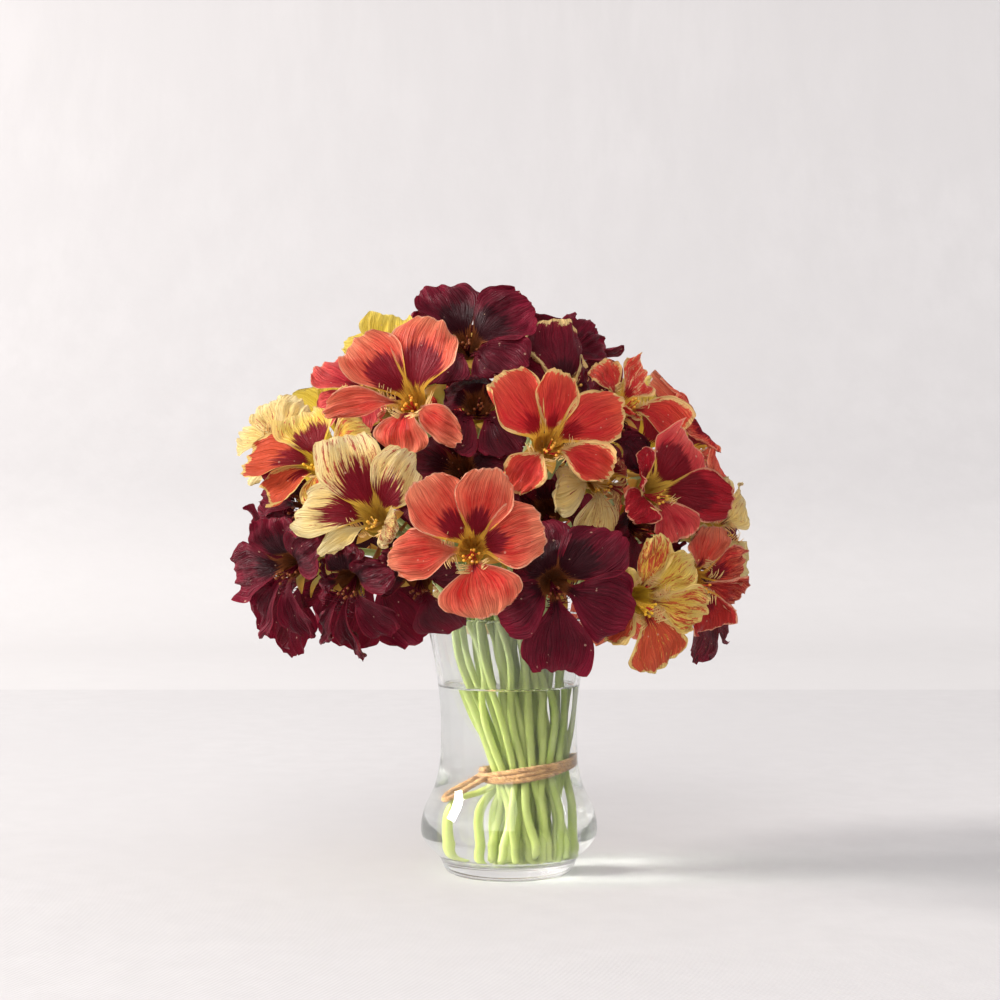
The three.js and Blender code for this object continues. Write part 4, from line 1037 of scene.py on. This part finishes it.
# Each petal's look: its field, the field's paler tone, the second colour of splashes, the guide mark, the
# claw and the margin. Then numbers: reach and streak of the guide mark, splashes, margin width in mm, dark of
# the veins, light let through, shine, and how far the claw's colour runs up the petal's sides.
USUAL_LOOK = dict(reach=0.62, streak=0.5, splashes=0.2, margin_width=0.5, veins=0.4, through=0.3, shine=0.2,
                  bare=0.3, claw=(0.86, 0.54, 0.07))
PETALS = {
    "coral": dict(
        USUAL_LOOK, field=(0.68, 0.026, 0.02), pale=(0.9, 0.25, 0.135), second=(0.5, 0.02, 0.02),
        mark=(0.22, 0.005, 0.014), claw=(0.92, 0.5, 0.055), margin=(0.9, 0.42, 0.26),
        margin_width=0.4, veins=0.5),
    "coral_edged": dict(
        USUAL_LOOK, field=(0.6, 0.02, 0.024), pale=(0.86, 0.11, 0.06), second=(0.9, 0.6, 0.3),
        mark=(0.32, 0.006, 0.012), claw=(0.92, 0.5, 0.055), margin=(0.93, 0.64, 0.25),
        reach=0.5, streak=0.45, margin_width=1.0),
    "coral_red": dict(
        USUAL_LOOK, field=(0.48, 0.012, 0.028), pale=(0.84, 0.12, 0.1), second=(0.4, 0.006, 0.018),
        mark=(0.19, 0.004, 0.011), claw=(0.86, 0.54, 0.08), margin=(0.84, 0.36, 0.22),
        reach=0.68, streak=0.45, splashes=0.22, veins=0.45),
    "cream": dict(
        USUAL_LOOK, field=(0.93, 0.66, 0.2), pale=(0.95, 0.8, 0.42), second=(0.46, 0.02, 0.03),
        mark=(0.22, 0.006, 0.016), margin=(0.93, 0.74, 0.34),
        streak=0.95, splashes=0.36, veins=0.25, through=0.38),
    "flame": dict(
        USUAL_LOOK, field=(0.92, 0.6, 0.06), pale=(0.94, 0.74, 0.22), second=(0.66, 0.05, 0.035),
        mark=(0.24, 0.007, 0.014), claw=(0.88, 0.6, 0.05), margin=(0.93, 0.7, 0.24),
        streak=0.8, splashes=0.38, margin_width=1.0, veins=0.3, through=0.36),
    "yellow": dict(
        USUAL_LOOK, field=(0.86, 0.6, 0.05), pale=(0.9, 0.7, 0.13), second=(0.74, 0.28, 0.05),
        mark=(0.18, 0.007, 0.015), claw=(0.86, 0.58, 0.05), margin=(0.92, 0.74, 0.2),
        reach=0.42, splashes=0.08, margin_width=0.4, veins=0.2, through=0.34),
    "maroon": dict(
        USUAL_LOOK, field=(0.07, 0.002, 0.009), pale=(0.22, 0.006, 0.026), second=(0.045, 0.0015, 0.006),
        mark=(0.035, 0.001, 0.005), claw=(0.26, 0.075, 0.02), margin=(0.24, 0.008, 0.025),
        reach=0.55, streak=0.6, splashes=0.18, margin_width=0.25, veins=0.55, through=0.24, shine=0.22,
        bare=0.12),
    "maroon_edged": dict(
        USUAL_LOOK, field=(0.09, 0.002, 0.01), pale=(0.2, 0.005, 0.02), second=(0.8, 0.58, 0.32),
        mark=(0.045, 0.0015, 0.006), claw=(0.6, 0.34, 0.06), margin=(0.9, 0.64, 0.27),
        reach=0.5, streak=0.4, splashes=0.1, margin_width=1.3, through=0.22, shine=0.14, bare=0.12),
}
POLLEN = (0.8, 0.5, 0.36)
FRINGE = (0.9, 0.62, 0.26)


def petal_finish(kind, groups):
    """A kind's petals, from the field's colour to the marks, the veins, the pollen and the fringe."""
    look = PETALS[kind]
    material, n = new_finish("petal " + kind.replace("_", " "))
    across, along = n.leaf_place()
    pick, rim, guide, flush = (n.attribute(mark) for mark in ("pick", "rim", "guide", "flush"))
    place = dict(across=across, along=along, pick=pick)
    fans = n.group(groups["veins"], count=8.0, **place)
    lines, ribs = fans["Lines"], fans["Ribs"]
    reach = n.times(guide, look["reach"])
    mark = n.group(groups["guide"], reach=reach, streak=look["streak"], **place)["Mark"]
    amount = n.plus(n.times(flush, 0.9), look["splashes"])
    splash = n.group(groups["splash"], amount=amount, **place)["Mark"]
    margin = n.group(groups["margin"], rim=rim, width=look["margin_width"], **place)["Mark"]
    pollen = n.group(groups["pollen"], scale=560.0, size=0.26, share=0.12)["Mark"]
    mottle = n.group(groups["mottle"], scale=110.0, pick=pick)
    # The field is paler in patches and outwards. It is paler on its ribs, as painted light on their raised
    # relief, and along its free edge, partly its own colour and partly painted light on the thin edge.
    outer = n.minus(n.times(n.math("POWER", n.ramp(along, 0.25, 1.0), 1.6), 0.6), 0.17)
    tone = n.plus(n.times(mottle["Patches"], 0.3), n.times(ribs, 0.34))
    tone = n.plus(tone, n.ramp(rim, 5.0, 0.3, 0.0, 0.42))
    colour = n.mix(n.plus(tone, outer, clamp=True), look["field"], look["pale"])
    colour = n.mix(n.times(splash, 0.92), colour, look["second"])
    colour = n.mix(n.times(margin, 0.9), colour, look["margin"])
    colour = n.mix(n.times(mark, n.ramp(guide, 0.05, 0.3)), colour, look["mark"])
    # The claw's own colour runs up the sides of a marked petal.
    beside = n.math("POWER", n.math("ABSOLUTE", across), 3.0)
    bare = n.plus(n.times(beside, n.ramp(guide, 0.3, 0.6, 0.05, look["bare"])), 0.03)
    frayed = n.plus(n.times(lines, 0.05), n.times(ribs, 0.16))
    bare = n.minus(n.plus(bare, 0.08), n.plus(along, frayed))
    colour = n.mix(n.times(n.ramp(bare, -0.035, 0.035), 0.92), colour, look["claw"])
    # The veins are dark, and darkest down in the throat: their streaks there are the petal's own, and a
    # slight darkening all over the throat is painted shade in its recess.
    colour = n.mix(n.times(lines, look["veins"]), colour, n.mix(0.7, colour, look["mark"]))
    deep = n.times(n.ramp(along, 0.02, -0.26), n.ramp(lines, 0.0, 1.0, 0.08, 0.6))
    colour = n.mix(deep, colour, look["second"])
    colour = n.mix(n.times(pollen, 0.5), colour, POLLEN)
    colour = n.mix(n.ramp(along, 0.5 * FRINGE_MARK, 0.75 * FRINGE_MARK), colour, FRINGE)
    relief = n.plus(n.plus(n.times(lines, -0.4), n.times(mottle["Grain"], 0.25)), ribs)
    bump = n.bump(relief, 0.9, 0.0007)
    rough = n.ramp(mottle["Grain"], 0.3, 0.7, 0.36, 0.56)
    face = {"Base Color": colour, "Roughness": rough, "Normal": bump, "Specular IOR Level": look["shine"]}
    thin_leaf(n, look["through"], face, {"Color": colour, "Normal": bump})
    return material


def stem_finish(groups):
    """Yellow green at the foot, and greyer above the water, as a painted haze of light behind the glass."""
    material, n = new_finish("nasturtium stem")
    pick = n.attribute("pick")
    mottle = n.group(groups["mottle"], scale=90.0, pick=pick)
    height = n.parts(n.place())[2]
    colour = n.mix(pick, (0.33, 0.45, 0.04), (0.68, 0.75, 0.24))
    colour = n.mix(n.times(mottle["Patches"], 0.5), colour, (0.62, 0.68, 0.26))
    # Painted haze: greyer from the water's edge up, for the pale veil of light over the stems behind the
    # glass.
    colour = n.mix(n.ramp(height, 0.066, 0.09), colour, (0.56, 0.64, 0.3))
    rough = n.ramp(mottle["Grain"], 0.3, 0.7, 0.25, 0.45)
    bump = n.bump(mottle["Grain"], 0.5, 0.0003)
    thin_leaf(n, 0.35, {"Base Color": colour, "Roughness": rough, "Normal": bump}, {"Color": colour})
    return material


def calyx_finish(groups):
    """Olive green to ochre, with a red flush on some of the spurs."""
    material, n = new_finish("calyx and spur")
    pick = n.attribute("pick")
    mottle = n.group(groups["mottle"], scale=150.0, pick=pick)
    along = n.leaf_place()[1]
    colour = n.mix(n.ramp(along, 0.0, 0.7), (0.4, 0.4, 0.06), (0.66, 0.36, 0.05))
    colour = n.mix(n.times(n.attribute("flush"), pick), colour, (0.36, 0.05, 0.03))
    colour = n.mix(n.times(mottle["Patches"], 0.3), colour, (0.74, 0.5, 0.12))
    rough = n.ramp(mottle["Grain"], 0.3, 0.7, 0.4, 0.6)
    bump = n.bump(mottle["Grain"], 0.3, 0.0002)
    thin_leaf(n, 0.3, {"Base Color": colour, "Roughness": rough, "Normal": bump}, {"Color": colour})
    return material


def jute_finish(groups):
    """Light brown fibre with darker patches, partly its own colour and partly painted shade for the dark
    between its strands, and pale flecks of painted highlight.
    """
    material, n = new_finish("jute twine")
    mottle = n.group(groups["mottle"], scale=300.0, pick=n.attribute("pick"))
    # Darker patches: partly the jute's own colour, partly painted shade standing for the dark between
    # strands.
    colour = n.mix(mottle["Patches"], (0.27, 0.1, 0.025), (0.62, 0.33, 0.12))
    # Painted highlight: pale flecks on the fibre.
    colour = n.mix(n.ramp(mottle["Grain"], 0.45, 0.75), colour, (0.8, 0.54, 0.26))
    rough = n.ramp(mottle["Grain"], 0.3, 0.7, 0.7, 0.95)
    bump = n.bump(mottle["Grain"], 0.9, 0.0004)
    n.put_out(n.add("ShaderNodeBsdfPrincipled", {
        "Base Color": colour, "Roughness": rough, "Normal": bump, "Sheen Weight": 0.25}))
    return material


def clear_finish(name, tint, shade, ior, ripples, groups):
    """Glass or water. Lamps shine through it, so that what stands inside is lit, and a little of the other
    light goes straight through too."""
    material, n = new_finish(name)
    mottle = n.group(groups["mottle"], scale=ripples, pick=0.3)
    bump = n.bump(mottle["Patches"], 0.04, 0.0005)
    body = n.add("ShaderNodeBsdfPrincipled", {
        "Base Color": tint, "Roughness": 0.0, "IOR": ior, "Transmission Weight": 1.0, "Normal": bump})
    open_way = n.add("ShaderNodeBsdfTransparent", {"Color": shade})
    lamp = n.add("ShaderNodeLightPath").outputs["Is Shadow Ray"]
    n.put_out(n.blend(n.math("MAXIMUM", lamp, STRAIGHT_THROUGH), body, open_way))
    return material


def cloth_finish(name, tone, streak, weave_depth, low_painted_light, groups):
    """Plain cloth or plaster, with painted light that makes it paler near the floor by the given share:
    streaks drawn out along x, y and z by their shares, and a weave of threads."""
    material, n = new_finish(name)
    mottle = n.group(groups["mottle"], scale=6.0, pick=0.1)
    place = n.parts(n.place())
    streaks = n.noise(n.vector(*[n.times(place[k], streak[k]) for k in range(3)]), 1.0, 5.0, 0.65)
    colour = n.mix(mottle["Patches"], tone, tuple(0.97 * c for c in tone))
    colour = n.mix(n.ramp(streaks, 0.3, 0.7), colour, tuple(0.955 * c for c in tone))
    # Painted light: paler low down, towards the floor.
    colour = n.mix(n.ramp(place[2], 0.16, 0.0, 0.0, low_painted_light), colour, (0.66, 0.645, 0.64))
    woven = [n.math("SINE", n.times(place[k], math.tau / THREAD)) for k in range(2)]
    weave = n.plus(n.times(n.times(*woven), weave_depth), n.times(mottle["Grain"], 2.0))
    bump = n.bump(weave, 0.25, 0.0003)
    n.put_out(n.add("ShaderNodeBsdfPrincipled", {
        "Base Color": colour, "Roughness": 0.85, "Normal": bump, "Specular IOR Level": 0.2}))
    return material


# ---- the bouquet ----
def all_blooms():
    """The blooms, from the outermost inwards, with the planes that part them."""
    listed = list(FRONT_BLOOMS)
    for elevation, azimuths, kinds in BACK_ROWS:
        for azimuth, kind in zip(azimuths, kinds):
            at = DOME_CENTRE + DOME_RADIUS * direction(azimuth, elevation)
            listed.append((kind, at, (azimuth, elevation), None))
    listed += DEEP_BLOOMS
    blooms = [Bloom(k + 1, *bloom) for k, bloom in enumerate(listed)]
    for k, outer in enumerate(blooms):
        for inner in blooms[k + 1:]:
            separate(outer, inner)
    place_in_bunch(blooms)
    for bloom in blooms:
        for other in blooms:
            if other is not bloom:
                keep_clear(bloom, stem_path(other))
        bloom.planes += sides_of_box()
    return blooms


groups = dict(veins=veins_group(), guide=guide_group(), margin=margin_group(), splash=splash_group(),
              pollen=pollen_group(), mottle=mottle_group())
finishes = {kind: petal_finish(kind, groups) for kind in PETALS}
blooms = all_blooms()
for bloom in blooms:
    grow_bloom(bloom, finishes[bloom.kind])
grow_stems(blooms, stem_finish(groups), calyx_finish(groups))
wind_twine(jute_finish(groups))
blow_glass([
    clear_finish("clear glass", (0.992, 0.999, 0.995), (0.83, 0.868, 0.845), GLASS_BENDS, 40.0, groups),
    clear_finish("clear glass against water", (1.0, 1.0, 1.0), (0.98, 0.99, 0.98),
                 round(GLASS_BENDS / WATER_BENDS, 3), 40.0, groups)])
pour_water([
    clear_finish("water", (0.99, 1.0, 0.99), (0.98, 0.99, 0.98), WATER_BENDS, 25.0, groups),
    clear_finish("water's side", (0.99, 1.0, 0.985), (1.0, 1.0, 1.0), 1.001, 25.0, groups)])


# ---- floor, light and camera ----
CLOTH_FRONT, CLOTH_END = -3000, 634  # the cloth's front and back, in y
SWEEP_START, SWEEP_RADIUS, SWEEP_TOP = 950, 750, 3000  # the wall's curve up behind the cloth
# Each lamp: name, place, what it shines at, size, power and colour.
LAMPS = [
    ("key", (-2700, -150, 1250), (0, 0, 120), 750, 138, (1.0, 0.965, 0.93)),
    ("front", (-500, -1900, 1500), (0, 0, 120), 1900, 40, (1.0, 0.975, 0.95)),
    ("bounce", (2300, 200, 1500), (2500, 1700, 600), 900, 30, (1.0, 1.0, 1.0)),
]
SKY_COLOUR, SKY_POWER = (0.98, 0.97, 1.0, 1.0), 0.62
LIGHT_BOUNCES = 48  # enough to leave the glass, the water and the stems in it
CAMERA_AT, CAMERA_AIM = (-3.3, -760, 148), (-3.3, 0, 137.6)
LENS, FILM_WIDTH = 73.9, 36


def sheet(name, profile, material):
    """A wide sheet whose section, looking along x, runs through the given places (y, z) in mm."""
    mesh = bpy.data.meshes.new(name)
    points = [(side * SHEET_SIDE * MM, y * MM, z * MM) for y, z in profile for side in (-1, 1)]
    mesh.from_pydata(points, [], [(k, k + 1, k + 3, k + 2) for k in range(0, len(points) - 2, 2)])
    mesh.polygons.foreach_set("use_smooth", [True] * len(mesh.polygons))
    mesh.materials.append(material)
    piece = bpy.data.objects.new(name, mesh)
    bpy.context.scene.collection.objects.link(piece)


def wall_section():
    """The backdrop's section: level behind the cloth, then curved up into a wall."""
    curve = [(SWEEP_START + SWEEP_RADIUS * math.sin(t), SWEEP_RADIUS * (1 - math.cos(t)))
             for t in np.linspace(0, math.pi / 2, 25)]
    return [(CLOTH_END, 0), *curve, (SWEEP_START + SWEEP_RADIUS, SWEEP_TOP)]


def stand(name, data, at, target):
    """Puts a lamp or a camera at one place and turns it to another."""
    thing = bpy.data.objects.new(name, data)
    bpy.context.scene.collection.objects.link(thing)
    thing.location = Vector(at) * MM
    aim = (Vector(target) - Vector(at)).normalized()
    thing.rotation_euler = aim.to_track_quat("-Z", "Y").to_euler()
    return thing


def soft_lamp(name, at, target, size, power, colour):
    """A square lamp, with its size in mm and its power in watts."""
    light = bpy.data.lights.new(name, "AREA")
    light.size = size * MM
    light.energy = power
    light.color = colour
    stand(name, light, at, target)


sheet("floor", [(CLOTH_FRONT, 0), (CLOTH_END, 0)],
      cloth_finish("pale cloth", (0.55, 0.537, 0.54), (60, 60, 60), 1.0, 0.0, groups))
sheet("backdrop", wall_section(),
      cloth_finish("pale wall", (0.5, 0.487, 0.49), (30, 30, 5), 0.0, 0.5, groups))
for lamp in LAMPS:
    soft_lamp(*lamp)

scene = bpy.context.scene
scene.world = bpy.data.worlds.new("studio")
scene.world.use_nodes = True
sky = scene.world.node_tree.nodes["Background"].inputs
sky["Color"].default_value, sky["Strength"].default_value = SKY_COLOUR, SKY_POWER
scene.view_settings.view_transform = "Standard"
for limit in ("max_bounces", "transmission_bounces", "transparent_max_bounces"):
    setattr(scene.cycles, limit, LIGHT_BOUNCES)

camera = bpy.data.cameras.new("camera")
camera.sensor_width, camera.lens = FILM_WIDTH, LENS
camera.clip_start = 10 * MM
scene.camera = stand("camera", camera, CAMERA_AT, CAMERA_AIM)
